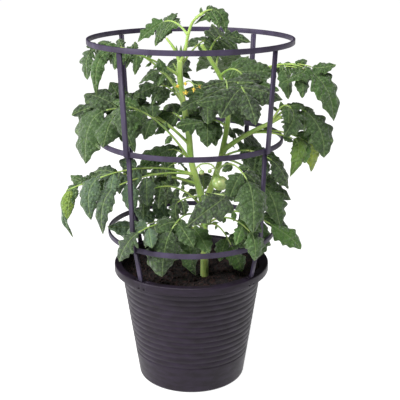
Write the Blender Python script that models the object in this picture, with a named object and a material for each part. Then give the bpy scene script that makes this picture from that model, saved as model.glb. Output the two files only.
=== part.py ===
"""Tomato plant in a ribbed pot with a clip-together cage, built piece by piece.

Metres, +Z up. The origin is the centre of the pot's base, which stands on Z = 0, and -Y is the front.
Lengths in the tables are millimetres, because they read more easily; MM turns them into metres.
"""

from math import cos, pi, radians, sin

import bmesh
import bpy
import numpy as np
from mathutils.bvhtree import BVHTree

MM = 0.001
GAP = 0.3 * MM  # clearance between two pieces that touch
UP = np.array([0.0, 0.0, 1.0])

# Pot
POT_STEPS = 40
BASE_RADIUS = 106.5 * MM
BASE_CORNER = 7 * MM
WALL = 3 * MM
WALL_TOP_RADIUS = 138.5 * MM
WALL_TOP_Z = 224 * MM
RIM_RADIUS = 152 * MM
RIM_TOP_Z = 240 * MM
RIM_LEDGE = 14 * MM
RIM_BAND = 2.5 * MM  # thickness of the band that hangs from the ledge
DRAIN_HOLES = 5
DRAIN_HOLE_RADIUS = 6 * MM
DRAIN_CIRCLE_RADIUS = 62 * MM

# Soil
SOIL_EDGE_Z = 224 * MM
SOIL_CROWN_Z = 229 * MM
SOIL_LUMPS = 1.6 * MM
SOIL_STEPS = 20  # divides POT_STEPS, so that the flats of both line up

# Cage: each ring is (radius, height of its middle), from the bottom ring to the top one
RINGS = {
    "ring_bottom": (160.5 * MM, 306 * MM),
    "ring_middle": (172.5 * MM, 487.5 * MM),
    "ring_top": (189.5 * MM, 671 * MM),
}
RING_STEPS = 48
BAND_HEIGHT = 9.5 * MM
BAND_THICKNESS = 4 * MM
LEG_SIDES = {"back_right": 48, "back_left": 137, "front_left": 230, "front_right": 320.5}  # degrees
LEG_WALL = 2 * MM
LEG_DEPTH = 4 * MM
LEG_WIDTH = 9.5 * MM
TOP_LEG_WIDTH = 10.5 * MM
LEG_SET_BACK = 1.5 * MM  # a leg hangs this far inside the middle of its ring
FOOT_Z = 226 * MM
FOOT_RADIUS = 143.6 * MM
SLOT_CLEARANCE = 0.6 * MM
CLIP_HOLE = 4 * MM  # square, one on each side of a slot
CLIP_HOLE_OFFSET = 13 * MM

STEM_SIDES = 7
# Stems: centre points in mm, then the radius at the foot and at the head in mm
STEMS = {
    "main_stem": (
        [(25, -55, 200), (25, -55, 230), (25, -45, 260), (25, -25, 305), (25, 0, 350)],
        8.0,
        7.0,
    ),
    "left_stem": (
        [(25, 0, 350), (10, -5, 405), (0, -10, 445), (-5, -10, 500), (-15, -10, 560), (-20, -10, 600),
         (-20, -10, 635)],
        6.8,
        5.2,
    ),
    "left_shoot": ([(-20, -10, 630), (-30, -10, 655), (-45, -5, 675)], 3.6, 2.2),
    "right_shoot": ([(-20, -10, 630), (-10, -10, 655), (-5, -5, 680), (5, 0, 705), (25, 0, 720)], 3.8, 2.0),
    "right_stem": (
        [(25, 0, 350), (35, 10, 375), (50, 15, 415), (60, 20, 455), (70, 30, 505), (70, 30, 545),
         (60, 20, 590), (35, 20, 635), (20, 20, 660)],
        6.2,
        3.6,
    ),
    "side_stem": ([(60, 20, 455), (90, 10, 480), (120, 0, 500), (145, -10, 515), (170, -15, 530)], 5.0, 3.2),
}
# Stems that grew from one another as one piece
GROWN = {
    "main_stem": ("main_stem", "left_stem", "left_shoot", "right_shoot"),
    "right_stem": ("right_stem", "side_stem"),
}

# Leaves. Each leaf has one to three arms, and an arm is
# (stem, height on it, knee, tip, arch, pairs, side size, droop, faces):
# its stalk runs from the stem to the knee, arch mm above the straight line, and its end leaflet runs
# from the knee to the tip. Pairs of side leaflets, side size times as long, droop by so many degrees,
# and the upper sides face the compass angle, 0 at +X and 270 at the front.
LEAVES = {
    "leaf_top_far_left": [
        ("left_stem", 575, (-170, -30, 660), (-190, -45, 605), 30, 3, 0.60, 20, 245),
    ],
    "leaf_top_left_hanging": [
        ("left_stem", 605, (-140, -80, 660), (-170, -90, 580), 12, 2, 0.40, 30, 250),
    ],
    "leaf_upper_left": [
        ("left_stem", 475, (-155, -50, 550), (-195, -75, 455), 26, 3, 0.80, 25, 250),
        ("left_stem", 475, (-145, -25, 555), (-220, -40, 545), 22, 2, 0.75, 15, 255),
    ],
    "leaf_left_inner": [
        ("left_stem", 440, (-110, -95, 565), (-100, -110, 485), 20, 2, 0.65, 25, 260),
    ],
    "leaf_left_trailing": [
        ("left_stem", 395, (-230, -75, 405), (-220, -90, 315), 26, 4, 0.40, 15, 250),
        ("left_stem", 395, (-220, -80, 410), (-225, -105, 360), 26, 0, 0, 0, 290),
    ],
    "leaf_left_low": [
        ("left_stem", 415, (-165, -95, 435), (-185, -120, 360), 16, 2, 0.60, 25, 250),
        ("left_stem", 415, (-135, -100, 420), (-165, -120, 330), 12, 2, 0.60, 25, 255),
    ],
    "leaf_bottom_left": [
        ("main_stem", 300, (-85, -50, 330), (-155, -70, 335), 16, 2, 0.75, 10, 250),
        ("main_stem", 300, (-95, -140, 345), (-135, -145, 290), 22, 1, 0.70, 15, 250),
    ],
    "leaf_bottom_front": [
        ("main_stem", 320, (-35, -120, 345), (-55, -150, 260), 24, 1, 0.60, 15, 265),
    ],
    "leaf_bottom_middle": [
        ("main_stem", 305, (0, -90, 330), (10, -105, 245), 14, 1, 0.75, 20, 270),
    ],
    "leaf_bottom_right": [
        ("main_stem", 315, (75, -70, 295), (100, -75, 240), 20, 1, 0.80, 25, 280),
        ("main_stem", 315, (105, -135, 345), (115, -150, 290), 22, 1, 0.70, 15, 280),
    ],
    "leaf_bottom_far_right": [
        ("main_stem", 335, (150, -50, 330), (215, -60, 285), 16, 2, 0.85, 15, 290),
    ],
    "leaf_front_right_low": [
        ("right_stem", 415, (100, -110, 435), (110, -160, 350), 22, 1, 0.55, 30, 275),
    ],
    "leaf_front_low": [
        ("left_stem", 370, (-25, -70, 380), (-25, -90, 340), 4, 1, 0.75, 25, 265),
    ],
    "leaf_front_middle_low": [
        ("right_stem", 370, (60, -110, 405), (-15, -130, 355), 2, 1, 0.50, 15, 260),
    ],
    "leaf_front_right_high": [
        ("right_stem", 580, (95, -95, 590), (115, -130, 540), 16, 3, 1.15, 12, 275),
        ("right_stem", 580, (65, -85, 590), (10, -130, 580), 16, 2, 0.80, 10, 265),
    ],
    "leaf_right_high": [
        ("right_stem", 600, (95, -20, 610), (160, -50, 590), 12, 3, 0.85, 10, 280),
    ],
    "leaf_top_far_right": [
        ("right_stem", 560, (210, -30, 620), (270, -40, 525), 26, 1, 0.30, 10, 285),
        ("right_stem", 560, (205, -30, 625), (165, -55, 605), 26, 0, 0, 0, 270),
        ("right_stem", 560, (220, -25, 625), (265, -30, 630), 26, 0, 0, 0, 285),
    ],
    "leaf_side_end": [
        ("side_stem", 520, (215, -20, 540), (255, -35, 455), 16, 1, 0.40, 55, 285),
        ("side_stem", 520, (185, -35, 550), (170, -50, 500), 16, 1, 0.60, 20, 280),
    ],
    "leaf_right_low": [
        ("right_stem", 440, (150, -50, 455), (185, -55, 400), 18, 3, 0.80, 30, 285),
        ("right_stem", 440, (140, -35, 400), (165, -35, 320), 14, 0, 0, 0, 250),
    ],
    "leaf_side_under": [
        ("side_stem", 495, (220, -10, 480), (230, -10, 420), 12, 1, 0.75, 25, 280),
        ("side_stem", 495, (190, -20, 490), (185, -40, 420), 5, 0, 0, 0, 265),
    ],
    "leaf_crown_left": [
        ("right_shoot", 680, (-50, 40, 700), (-100, 30, 665), 10, 3, 0.70, 25, 250),
    ],
    "leaf_crown_tip": [
        ("right_shoot", 710, (30, 0, 720), (0, 0, 705), 3, 1, 0.60, 25, 250),
        ("right_shoot", 710, (40, 0, 725), (65, -10, 685), 4, 1, 0.70, 35, 280),
    ],
    "leaf_crown_back": [
        ("right_stem", 640, (60, 70, 670), (115, 70, 660), 8, 2, 0.80, 15, 280),
    ],
    "leaf_crown_middle": [
        ("left_stem", 620, (30, 60, 665), (40, 75, 640), 8, 2, 1.40, 15, 270),
    ],
    "leaf_behind_left_stem": [
        ("left_stem", 585, (-35, 50, 620), (0, 55, 590), 10, 2, 1.00, 20, 260),
    ],
    "leaf_left_high": [
        ("left_stem", 550, (-55, -50, 620), (-95, -60, 600), 10, 1, 0.60, 20, 260),
        ("left_stem", 550, (-55, -20, 590), (-105, -40, 570), 10, 2, 0.75, 20, 260),
    ],
    "leaf_left_middle": [
        ("left_stem", 500, (-35, 0, 535), (-80, -20, 515), 8, 2, 0.95, 20, 260),
    ],
    "leaf_centre_high": [
        ("right_stem", 550, (25, 0, 565), (-20, -35, 550), 8, 2, 0.95, 15, 265),
    ],
    "leaf_centre_middle": [
        ("right_stem", 500, (25, -10, 520), (-30, -30, 510), 8, 2, 0.95, 15, 265),
    ],
    "leaf_left_back_low": [
        ("left_stem", 440, (-45, 30, 455), (-105, 20, 415), 10, 2, 0.65, 30, 260),
        ("left_stem", 440, (-60, 20, 405), (-100, 10, 370), 14, 2, 0.90, 20, 255),
    ],
    "leaf_front_left_low": [
        ("main_stem", 345, (-70, -65, 405), (-90, -80, 350), 20, 3, 0.75, 30, 260),
    ],
    "leaf_back_right_middle": [
        ("right_stem", 510, (80, 90, 530), (120, 110, 500), 14, 2, 0.90, 15, 290),
    ],
    "leaf_back_left_middle": [
        ("left_stem", 520, (-20, 90, 530), (-10, 130, 500), 14, 2, 0.90, 15, 100),
    ],
    "leaf_back_right_low": [
        ("right_stem", 430, (110, 80, 470), (150, 100, 430), 16, 2, 0.90, 15, 330),
    ],
    "leaf_back_left_low": [
        ("left_stem", 380, (-60, 90, 440), (-90, 120, 400), 16, 2, 0.90, 15, 120),
    ],
    "leaf_back_bottom": [
        ("main_stem", 300, (24, 80, 390), (30, 130, 350), 10, 2, 0.90, 15, 90),
    ],
    "leaf_back_high": [
        ("right_stem", 615, (60, 110, 620), (80, 160, 575), 16, 2, 0.90, 15, 80),
    ],
}
STALK_RADII = (2.6 * MM, 1.5 * MM)  # at the stem and at the knee
STALK_STEPS = 4
STALK_SIDES = 4
LEAFLET_THICKNESS = 1.2 * MM
LEAFLET_BREADTH = 0.50  # of its length
LEAFLET_SEAT = 0.06  # the blade is narrow up to here, a share of its length
FACE_TILT = 50  # degrees that the upper sides tilt from the sky towards where they face
SIDE_SIZES = (1.0, 0.85, 0.62, 0.45)  # of the pairs, counted from the end leaflet
SOLID_PAIRS = 2  # smaller pairs nearer the stem are left to the finish
FIRST_PAIR_AT = 0.86  # share of the stalk's length
PAIRS_SPREAD = 0.46
# How a leaflet that would touch a neighbour turns on its stalk: (sideways, upwards) in degrees
TURNS = [(0, 0), (0, 14), (0, -14), (14, 0), (-14, 0), (14, 14), (-14, 14), (14, -14), (-14, -14),
         (0, 28), (0, -28), (28, 0), (-28, 0), (28, 20), (-28, 20), (28, -20), (-28, -20),
         (0, 42), (0, -42), (42, 0), (-42, 0), (42, 30), (-42, 30), (42, -30), (-42, -30),
         (0, 60), (0, -60), (60, 0), (-60, 0)]
ROOM = 0.6 * MM  # a leaflet is this much thicker on each side while it looks for room

# Flowers and fruit, in mm
FLOWER_STALK = [(-15, -10, 565), (-15, -25, 590), (-5, -30, 600), (5, -35, 595)]
FLOWERS = [(-25, -30, 590), (-10, -40, 580), (5, -40, 585), (15, -30, 590), (-10, -35, 595)]
FLOWER_RADIUS = 5.5 * MM
FRUIT_STALK = [(5, -10, 425), (20, -20, 440), (40, -30, 440), (55, -30, 415)]
FRUIT_CENTRE = (55, -30, 405)
FRUIT_RADII = (15.5 * MM, 15.5 * MM, 13.5 * MM)
SMALL_FRUITS = [(20, -25, 425, 5.0), (35, -35, 430, 4.0)]

COLOURS = {
    "pot_plastic": ((0.045, 0.036, 0.048, 1), 0.42),
    "cage_plastic": ((0.065, 0.052, 0.075, 1), 0.38),
    "potting_soil": ((0.030, 0.018, 0.012, 1), 0.95),
    "green_stem": ((0.32, 0.46, 0.12, 1), 0.55),
    "leaf_blade": ((0.065, 0.16, 0.045, 1), 0.50),
    "yellow_petal": ((0.85, 0.62, 0.05, 1), 0.50),
    "unripe_fruit": ((0.30, 0.42, 0.14, 1), 0.25),
}


def clear_scene():
    for old in list(bpy.data.objects):
        bpy.data.objects.remove(old, do_unlink=True)


def material(name):
    """The named colour and roughness as a Principled material, made once."""
    found = bpy.data.materials.get(name)
    if found:
        return found
    colour, roughness = COLOURS[name]
    made = bpy.data.materials.new(name)
    made.use_nodes = True
    shader = made.node_tree.nodes["Principled BSDF"]
    shader.inputs["Base Color"].default_value = colour
    shader.inputs["Roughness"].default_value = roughness
    shader.inputs["Metallic"].default_value = 0.0
    return made


def add_object(name, mesh, material_name, smooth=True):
    """An object for a finished mesh, shaded smooth with sharp edges past 40 degrees."""
    mesh.materials.clear()
    mesh.materials.append(material(material_name))
    if smooth:
        mesh.shade_smooth()
        mesh.set_sharp_from_angle(angle=radians(40))
    made = bpy.data.objects.new(name, mesh)
    bpy.context.scene.collection.objects.link(made)
    return made


def mesh_of(name, points, faces):
    mesh = bpy.data.meshes.new(name)
    mesh.from_pydata([tuple(point) for point in points], [], faces)
    return mesh


def together(pieces):
    """Several (points, faces) as one."""
    points, faces, first = [], [], 0
    for piece_points, piece_faces in pieces:
        points.append(np.asarray(piece_points, float))
        faces += [tuple(corner + first for corner in face) for face in piece_faces]
        first += len(piece_points)
    return np.vstack(points), faces


def apply_boolean(target, pieces, operation):
    """Joins or cuts the target's mesh with the pieces, and keeps the result as its mesh."""
    tool = bpy.data.objects.new(target.name + "_tool", mesh_of("tool", *together(pieces)))
    bpy.context.scene.collection.objects.link(tool)
    change = target.modifiers.new("boolean", "BOOLEAN")
    change.operation = operation
    change.solver = "EXACT"
    change.use_self = len(pieces) > 1 or operation == "UNION"
    change.object = tool
    scene_now = bpy.context.evaluated_depsgraph_get()
    changed = bpy.data.meshes.new_from_object(target.evaluated_get(scene_now))
    target.modifiers.remove(change)
    target.data = changed
    keep_largest(changed)
    bpy.data.objects.remove(tool, do_unlink=True)


def keep_largest(mesh):
    """Removes the scraps that a cut or a union leaves beside the main body, and the hollows in it."""
    shape = bmesh.new()
    shape.from_mesh(mesh)
    left, islands = set(shape.verts), []
    while left:
        reached, island = [left.pop()], []
        while reached:
            corner = reached.pop()
            island.append(corner)
            near = {edge.other_vert(corner) for edge in corner.link_edges} & left
            left -= near
            reached += near
        islands.append(island)
    islands.sort(key=len)
    bmesh.ops.delete(shape, geom=[corner for island in islands[:-1] for corner in island], context="VERTS")
    shape.to_mesh(mesh)
    shape.free()


# ---------------------------------------------------------------- shapes


def unit(vector):
    return vector / np.linalg.norm(vector)


def smooth_line(points, steps):
    """A Catmull-Rom curve through the points, with so many steps between two of them."""
    points = np.asarray(points, float)
    ends = np.vstack([2 * points[0] - points[1], points, 2 * points[-1] - points[-2]])
    t = np.linspace(0, 1, steps, endpoint=False)[:, None]
    parts = [
        0.5
        * (
            2 * b
            + (c - a) * t
            + (2 * a - 5 * b + 4 * c - d) * t**2
            + (3 * b - a - 3 * c + d) * t**3
        )
        for a, b, c, d in zip(ends, ends[1:], ends[2:], ends[3:])
    ]
    return np.vstack(parts + [points[-1:]])


def arc_line(start, middle, end, share):
    """Points of the quadratic Bezier curve start, middle, end at the shares 0 to 1."""
    t = np.asarray(share, float)[:, None]
    return (1 - t) ** 2 * start + 2 * t * (1 - t) * middle + t**2 * end


def tube(line, radii, sides):
    """A closed tube along the line, its frame carried along without twist."""
    line = np.asarray(line, float)
    ahead = np.gradient(line, axis=0)
    ahead /= np.linalg.norm(ahead, axis=1)[:, None]
    across = unit(np.cross(ahead[0], (0.31, 0.95, 0.05)))
    angles = 2 * pi * np.arange(sides) / sides
    rows = []
    for point, direction, radius in zip(line, ahead, radii):
        across = unit(across - direction * (across @ direction))
        other = np.cross(direction, across)
        ring = np.cos(angles)[:, None] * across + np.sin(angles)[:, None] * other
        rows.append(point + radius * ring)
    faces = [
        (row * sides + k, row * sides + (k + 1) % sides, (row + 1) * sides + (k + 1) % sides,
         (row + 1) * sides + k)
        for row in range(len(line) - 1)
        for k in range(sides)
    ]
    faces.append(tuple(reversed(range(sides))))
    faces.append(tuple((len(line) - 1) * sides + k for k in range(sides)))
    return np.vstack(rows), faces


def turned(name, outline, steps, material_name):
    """Spins a closed outline of (radius, height) points round the Z axis."""
    shape = bmesh.new()
    corners = [shape.verts.new((radius, 0, z)) for radius, z in outline]
    edges = [shape.edges.new(pair) for pair in zip(corners, corners[1:] + corners[:1])]
    bmesh.ops.spin(
        shape, geom=corners + edges, axis=(0, 0, 1), cent=(0, 0, 0), angle=2 * pi, steps=steps,
        use_merge=False, use_duplicate=False,
    )
    bmesh.ops.remove_doubles(shape, verts=shape.verts, dist=1e-6)
    bmesh.ops.dissolve_degenerate(shape, edges=shape.edges, dist=1e-7)
    bmesh.ops.recalc_face_normals(shape, faces=shape.faces)
    mesh = bpy.data.meshes.new(name)
    shape.to_mesh(mesh)
    shape.free()
    return add_object(name, mesh, material_name)


def box(centre, along, across, size):
    """A box with its own level axes: size is along, across and up."""
    signs = [(-1, -1), (1, -1), (1, 1), (-1, 1)]
    points = [
        centre + along * sx * size[0] / 2 + across * sy * size[1] / 2 + UP * sz * size[2] / 2
        for sz in (-1, 1)
        for sx, sy in signs
    ]
    faces = [(3, 2, 1, 0), (4, 5, 6, 7)] + [(k, (k + 1) % 4, (k + 1) % 4 + 4, k + 4) for k in range(4)]
    return np.array(points), faces


def cylinder(centre, radius, height, sides):
    line = [np.array(centre) - UP * height / 2, np.array(centre) + UP * height / 2]
    return tube(line, [radius, radius], sides)


def ball(centre, radii, rings, sides):
    """An ellipsoid of level rings, closed by a point at each pole."""
    points = [np.array(centre) - UP * radii[2]]
    for row in range(1, rings):
        angle = pi * row / rings - pi / 2
        for k in range(sides):
            turn = 2 * pi * k / sides
            offset = (radii[0] * cos(angle) * cos(turn), radii[1] * cos(angle) * sin(turn),
                      radii[2] * sin(angle))
            points.append(np.array(centre) + offset)
    points.append(np.array(centre) + UP * radii[2])
    last = len(points) - 1
    faces = [(0, 1 + (k + 1) % sides, 1 + k) for k in range(sides)]
    for row in range(rings - 2):
        low, high = 1 + row * sides, 1 + (row + 1) * sides
        faces += [(low + k, low + (k + 1) % sides, high + (k + 1) % sides, high + k) for k in range(sides)]
    top = 1 + (rings - 2) * sides
    faces += [(top + k, top + (k + 1) % sides, last) for k in range(sides)]
    return np.array(points), faces


# ---------------------------------------------------------------- pot and soil


def pot_wall_radius(z):
    """Outer radius of the pot's cone at a height."""
    share = (z - BASE_CORNER) / (WALL_TOP_Z - BASE_CORNER)
    return BASE_RADIUS + share * (WALL_TOP_RADIUS - BASE_RADIUS)


def pot_outline():
    """The pot's wall, floor and hollow rim, anticlockwise from the middle of the base."""
    corner = [
        (BASE_RADIUS - BASE_CORNER * (1 - sin(a)), BASE_CORNER * (1 - cos(a)))
        for a in (0, pi / 4, pi / 2)
    ]
    ledge_inner = RIM_RADIUS - RIM_LEDGE
    under_ledge = RIM_TOP_Z - WALL
    return (
        [(0, 0)]
        + corner
        + [
            (WALL_TOP_RADIUS, WALL_TOP_Z),
            (ledge_inner + WALL, under_ledge),
            (RIM_RADIUS - RIM_BAND, under_ledge),
            (RIM_RADIUS - RIM_BAND, WALL_TOP_Z),
            (RIM_RADIUS, WALL_TOP_Z),
            (RIM_RADIUS, RIM_TOP_Z - 1.5 * MM),
            (RIM_RADIUS - 1.5 * MM, RIM_TOP_Z),
            (ledge_inner, RIM_TOP_Z),
            (WALL_TOP_RADIUS - WALL, WALL_TOP_Z),
            (pot_wall_radius(BASE_CORNER) - WALL, BASE_CORNER),
            (BASE_RADIUS - BASE_CORNER, WALL),
            (0, WALL),
        ]
    )


def leg_directions(angle):
    """Outward and sideways unit vectors of a leg's corner of the cage."""
    turn = radians(angle)
    return np.array([cos(turn), sin(turn), 0]), np.array([-sin(turn), cos(turn), 0])


def build_pot():
    pot = turned("pot", pot_outline(), POT_STEPS, "pot_plastic")
    cutters = []
    for angle in LEG_SIDES.values():
        outward, sideways = leg_directions(angle)
        centre = outward * leg_radius_at(RIM_TOP_Z - WALL / 2) + UP * (RIM_TOP_Z - WALL / 2)
        size = (LEG_DEPTH + 2 * SLOT_CLEARANCE, LEG_WIDTH + 2 * SLOT_CLEARANCE, 3 * WALL)
        cutters.append(box(centre, outward, sideways, size))
        for side in (-1, 1):
            beside = centre + sideways * side * CLIP_HOLE_OFFSET
            cutters.append(box(beside, outward, sideways, (CLIP_HOLE, CLIP_HOLE, 3 * WALL)))
    for k in range(DRAIN_HOLES):
        turn = 2 * pi * k / DRAIN_HOLES
        middle = (DRAIN_CIRCLE_RADIUS * cos(turn), DRAIN_CIRCLE_RADIUS * sin(turn), WALL / 2)
        cutters.append(cylinder(middle, DRAIN_HOLE_RADIUS, 3 * WALL, 8))
    apply_boolean(pot, cutters, "DIFFERENCE")


def build_soil():
    """Soil filling the pot, a little lumpy on top, with a hole where the stem goes in."""
    inside = WALL + GAP
    outline = [
        (0, WALL + GAP),
        (BASE_RADIUS - BASE_CORNER - GAP, WALL + GAP),
        (pot_wall_radius(BASE_CORNER) - inside, BASE_CORNER),
        (pot_wall_radius(SOIL_EDGE_Z) - inside, SOIL_EDGE_Z),
        (105 * MM, SOIL_EDGE_Z + 1.5 * MM),
        (75 * MM, SOIL_EDGE_Z + 3 * MM),
        (45 * MM, SOIL_CROWN_Z),
        (0, SOIL_CROWN_Z),
    ]
    soil = turned("soil", outline, SOIL_STEPS, "potting_soil")
    for point in soil.data.vertices:
        x, y, z = point.co
        if z > SOIL_EDGE_Z + MM:
            point.co.z = z + SOIL_LUMPS * sin(61 * x + 1.3) * cos(74 * y + 0.4)
    apply_boolean(soil, stem_tubes("main_stem", GAP)[:1], "DIFFERENCE")


# ---------------------------------------------------------------- cage


def leg_radius_at(z):
    """Middle radius of a bottom leg, which leans from its foot to the bottom ring."""
    radius, ring_z = RINGS["ring_bottom"]
    top_z = ring_z - BAND_HEIGHT / 2 - GAP
    share = (z - FOOT_Z) / (top_z - FOOT_Z)
    return FOOT_RADIUS + share * (radius - LEG_SET_BACK - FOOT_RADIUS)


def build_ring(name):
    radius, z = RINGS[name]
    low, high = z - BAND_HEIGHT / 2, z + BAND_HEIGHT / 2
    inner, outer = radius - BAND_THICKNESS / 2, radius + BAND_THICKNESS / 2
    outline = [(inner, low), (outer, low), (outer, high), (inner, high)]
    turned(name, outline, RING_STEPS, "cage_plastic")


def channel(width, depth):
    """Outline of a leg's U section in (sideways, outward), open towards the plant."""
    half, inner = width / 2, width / 2 - LEG_WALL
    back, front = -depth / 2, depth / 2
    return [
        (-half, back), (-inner, back), (-inner, front - LEG_WALL), (inner, front - LEG_WALL),
        (inner, back), (half, back), (half, front), (-half, front),
    ]


def build_leg(name, angle, foot, head):
    """A tapered channel between two levels. foot and head are (radius, z, width)."""
    outward, sideways = leg_directions(angle)
    points = []
    for radius, z, width in (foot, head):
        points += [
            outward * (radius + out) + sideways * side + UP * z for side, out in channel(width, LEG_DEPTH)
        ]
    count = len(points) // 2
    faces = [(k, (k + 1) % count, (k + 1) % count + count, k + count) for k in range(count)]
    # The ends are a web and two flanges each, so that they stay flat where the section turns in
    for first, order in ((0, 1), (count, -1)):
        for quad in ((2, 3, 6, 7), (0, 1, 2, 7), (3, 4, 5, 6)):
            faces.append(tuple(first + corner for corner in quad)[::-order])
    mesh = mesh_of(name, points, faces)
    shape = bmesh.new()
    shape.from_mesh(mesh)
    bmesh.ops.recalc_face_normals(shape, faces=shape.faces)
    shape.to_mesh(mesh)
    shape.free()
    add_object(name, mesh, "cage_plastic", smooth=False)


def build_cage():
    """Three rings, each on four legs. A leg's head meets the ring above it, and the foot of a middle
    or top leg stands outside the ring below, level with its lower edge."""
    names = list(RINGS)
    for name in names:
        build_ring(name)
    stages = (("bottom", None, "ring_bottom"), ("middle", "ring_bottom", "ring_middle"),
              ("top", "ring_middle", "ring_top"))
    for stage, below, above in stages:
        head_radius, head_z = RINGS[above]
        head_width = TOP_LEG_WIDTH if stage == "top" else LEG_WIDTH
        head = (head_radius - LEG_SET_BACK, head_z - BAND_HEIGHT / 2 - GAP, head_width)
        if below is None:
            foot = (FOOT_RADIUS, FOOT_Z, LEG_WIDTH)
        else:
            radius, z = RINGS[below]
            outside = radius + BAND_THICKNESS / 2 + GAP + LEG_DEPTH / 2
            foot = (outside, z - BAND_HEIGHT / 2, LEG_WIDTH + (1.5 * MM if stage == "top" else 0))
        for side, angle in LEG_SIDES.items():
            build_leg(f"leg_{stage}_{side}", angle, foot, head)


# ---------------------------------------------------------------- stems


def stem_line(name, steps=3):
    """A stem's centre line in metres, and its radius at each point."""
    points, foot_radius, head_radius = STEMS[name]
    line = smooth_line(points, steps) * MM
    return line, np.linspace(foot_radius, head_radius, len(line)) * MM


def stem_point(name, height):
    """The point of a stem's centre line at a height."""
    line, _ = stem_line(name)
    return np.array([np.interp(height, line[:, 2], line[:, axis]) for axis in range(3)])


def stem_tubes(name, extra=0.0):
    """Tubes of a grown piece, thicker by extra all round, with the ends longer by extra."""
    tubes = []
    for part in GROWN[name]:
        line, radii = stem_line(part)
        line[0] -= unit(line[1] - line[0]) * extra
        line[-1] += unit(line[-1] - line[-2]) * extra
        tubes.append(tube(line, radii + extra, STEM_SIDES))
    return tubes


def build_stems():
    for name in GROWN:
        tubes = stem_tubes(name)
        stem = add_object(name, mesh_of(name, *tubes[0]), "green_stem")
        apply_boolean(stem, tubes[1:], "UNION")
    side = bpy.data.objects["right_stem"]
    apply_boolean(side, stem_tubes("main_stem", GAP), "DIFFERENCE")


# ---------------------------------------------------------------- leaves


def wobble(*numbers):
    """A number from 0 to 1 that looks random and is always the same for the same numbers."""
    total = sum((place + 1) * 12.9898 * number for place, number in enumerate(numbers))
    value = sin(total + 4.1) * 43758.5453
    return value - np.floor(value)


def turn_about(axis, degrees):
    """Rotation matrix about a unit axis."""
    x, y, z = axis
    cross = np.array([[0, -z, y], [z, 0, -x], [-y, x, 0]])
    angle = radians(degrees)
    return np.eye(3) + sin(angle) * cross + (1 - cos(angle)) * cross @ cross


def stalk_of(arm):
    """Start, middle control point and knee of an arm's stalk."""
    stem, height, knee = arm[0], arm[1] * MM, np.array(arm[2]) * MM
    start = stem_point(stem, height)
    return start, (start + knee) / 2 + 2 * arm[4] * MM * UP, knee


def leaflets_of(arm, leaf_number, arm_number, pairs):
    """(base, first direction, direction to the tip, length, facing) of each leaflet on an arm.

    The end leaflet comes first. The side leaflets stand on both sides of the stalk in the plane that
    faces the light, and bend down towards their tips.
    """
    start, middle, knee = stalk_of(arm)
    tip, side_size, droop, compass = np.array(arm[3]) * MM, arm[6], arm[7], radians(arm[8])
    tilt = radians(FACE_TILT)
    facing = np.array([cos(compass) * sin(tilt), sin(compass) * sin(tilt), cos(tilt)])
    length = np.linalg.norm(tip - knee)
    found = [(knee, unit(knee - middle), unit(tip - knee), length, facing)]
    for pair in range(pairs):
        share = FIRST_PAIR_AT - PAIRS_SPREAD * pair / arm[5]
        base = arc_line(start, middle, knee, [share])[0]
        ahead = unit((1 - share) * (middle - start) + share * (knee - middle))
        across = unit(np.cross(ahead, facing))
        for side in (-1, 1):
            key = (leaf_number, arm_number, 2 * pair + (side + 1) / 2)
            spread = radians(56 + 9 * pair + 16 * (wobble(*key) - 0.5))
            size = length * side_size * SIDE_SIZES[pair] * (0.9 + 0.25 * wobble(*key, 3))
            out = cos(spread) * ahead + side * sin(spread) * across
            fall = radians(droop + 26 * (wobble(*key, 7) - 0.4))
            found.append((base, out, unit(out * cos(fall) - UP * sin(fall)), size, facing))
    return found


def turn_leaflet(leaflet, sideways, upwards):
    """The leaflet turned on its stalk by two angles in degrees."""
    base, out, to_tip, length, facing = leaflet
    lift_axis = unit(np.cross(out, facing))
    turn = turn_about(facing, sideways) @ turn_about(lift_axis, upwards)
    return base, turn @ out, turn @ to_tip, length, facing


def leaflet_plate(leaflet, rows, extra=0.0):
    """A leaflet as a closed plate, three points across each row and one at the tip.

    rows are (share of the length, share of the half breadth). The middle line bends from the first
    direction to the tip, the edges hang a little below it, and extra thickens the plate all round.
    """
    base, out, to_tip, length, facing = leaflet
    tip = base + to_tip * (length + extra)
    middle = base + out * 0.4 * length
    shares = np.array([row[0] for row in rows] + [1.0])
    line = arc_line(base, middle, tip, shares)
    ahead = (1 - shares)[:, None] * (middle - base) + shares[:, None] * (tip - middle)
    ahead /= np.linalg.norm(ahead, axis=1)[:, None]
    across = np.cross(ahead, facing)
    across /= np.linalg.norm(across, axis=1)[:, None]
    upward = np.cross(across, ahead)
    thickness = LEAFLET_THICKNESS / 2 + extra
    points = []
    for level in (-1, 1):
        for k, (_, breadth) in enumerate(rows):
            half = breadth * length * LEAFLET_BREADTH / 2 + extra
            for side in (-1, 0, 1):
                sag = 0.3 * half * abs(side)
                points.append(line[k] + across[k] * side * half + upward[k] * (level * thickness - sag))
        points.append(line[-1] + upward[-1] * level * thickness)
    count = 3 * len(rows) + 1
    tip_corner = count - 1
    top = []
    for row in range(len(rows) - 1):
        for k in (0, 1):
            corner = 3 * row + k
            top.append((corner, corner + 1, corner + 4, corner + 3))
    last = 3 * (len(rows) - 1)
    top += [(last, last + 1, tip_corner), (last + 1, last + 2, tip_corner)]
    left = [3 * row for row in range(len(rows))]
    right = [3 * row + 2 for row in range(len(rows))]
    border = [1] + right + [tip_corner] + left[::-1] + [1]
    faces = [tuple(corner + count for corner in face) for face in top]
    faces += [face[::-1] for face in top]
    faces += [(a, b, b + count, a + count) for a, b in zip(border, border[1:])]
    return np.array(points), faces


LEAFLET_ROWS = [(0.0, 0.12), (0.45, 1.0)]


def search_tree(piece):
    points, faces = piece
    return BVHTree.FromPolygons([tuple(point) for point in points], faces)


def object_tree(name):
    mesh = bpy.data.objects[name].data
    return BVHTree.FromPolygons([v.co for v in mesh.vertices], [tuple(p.vertices) for p in mesh.polygons])


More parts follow.
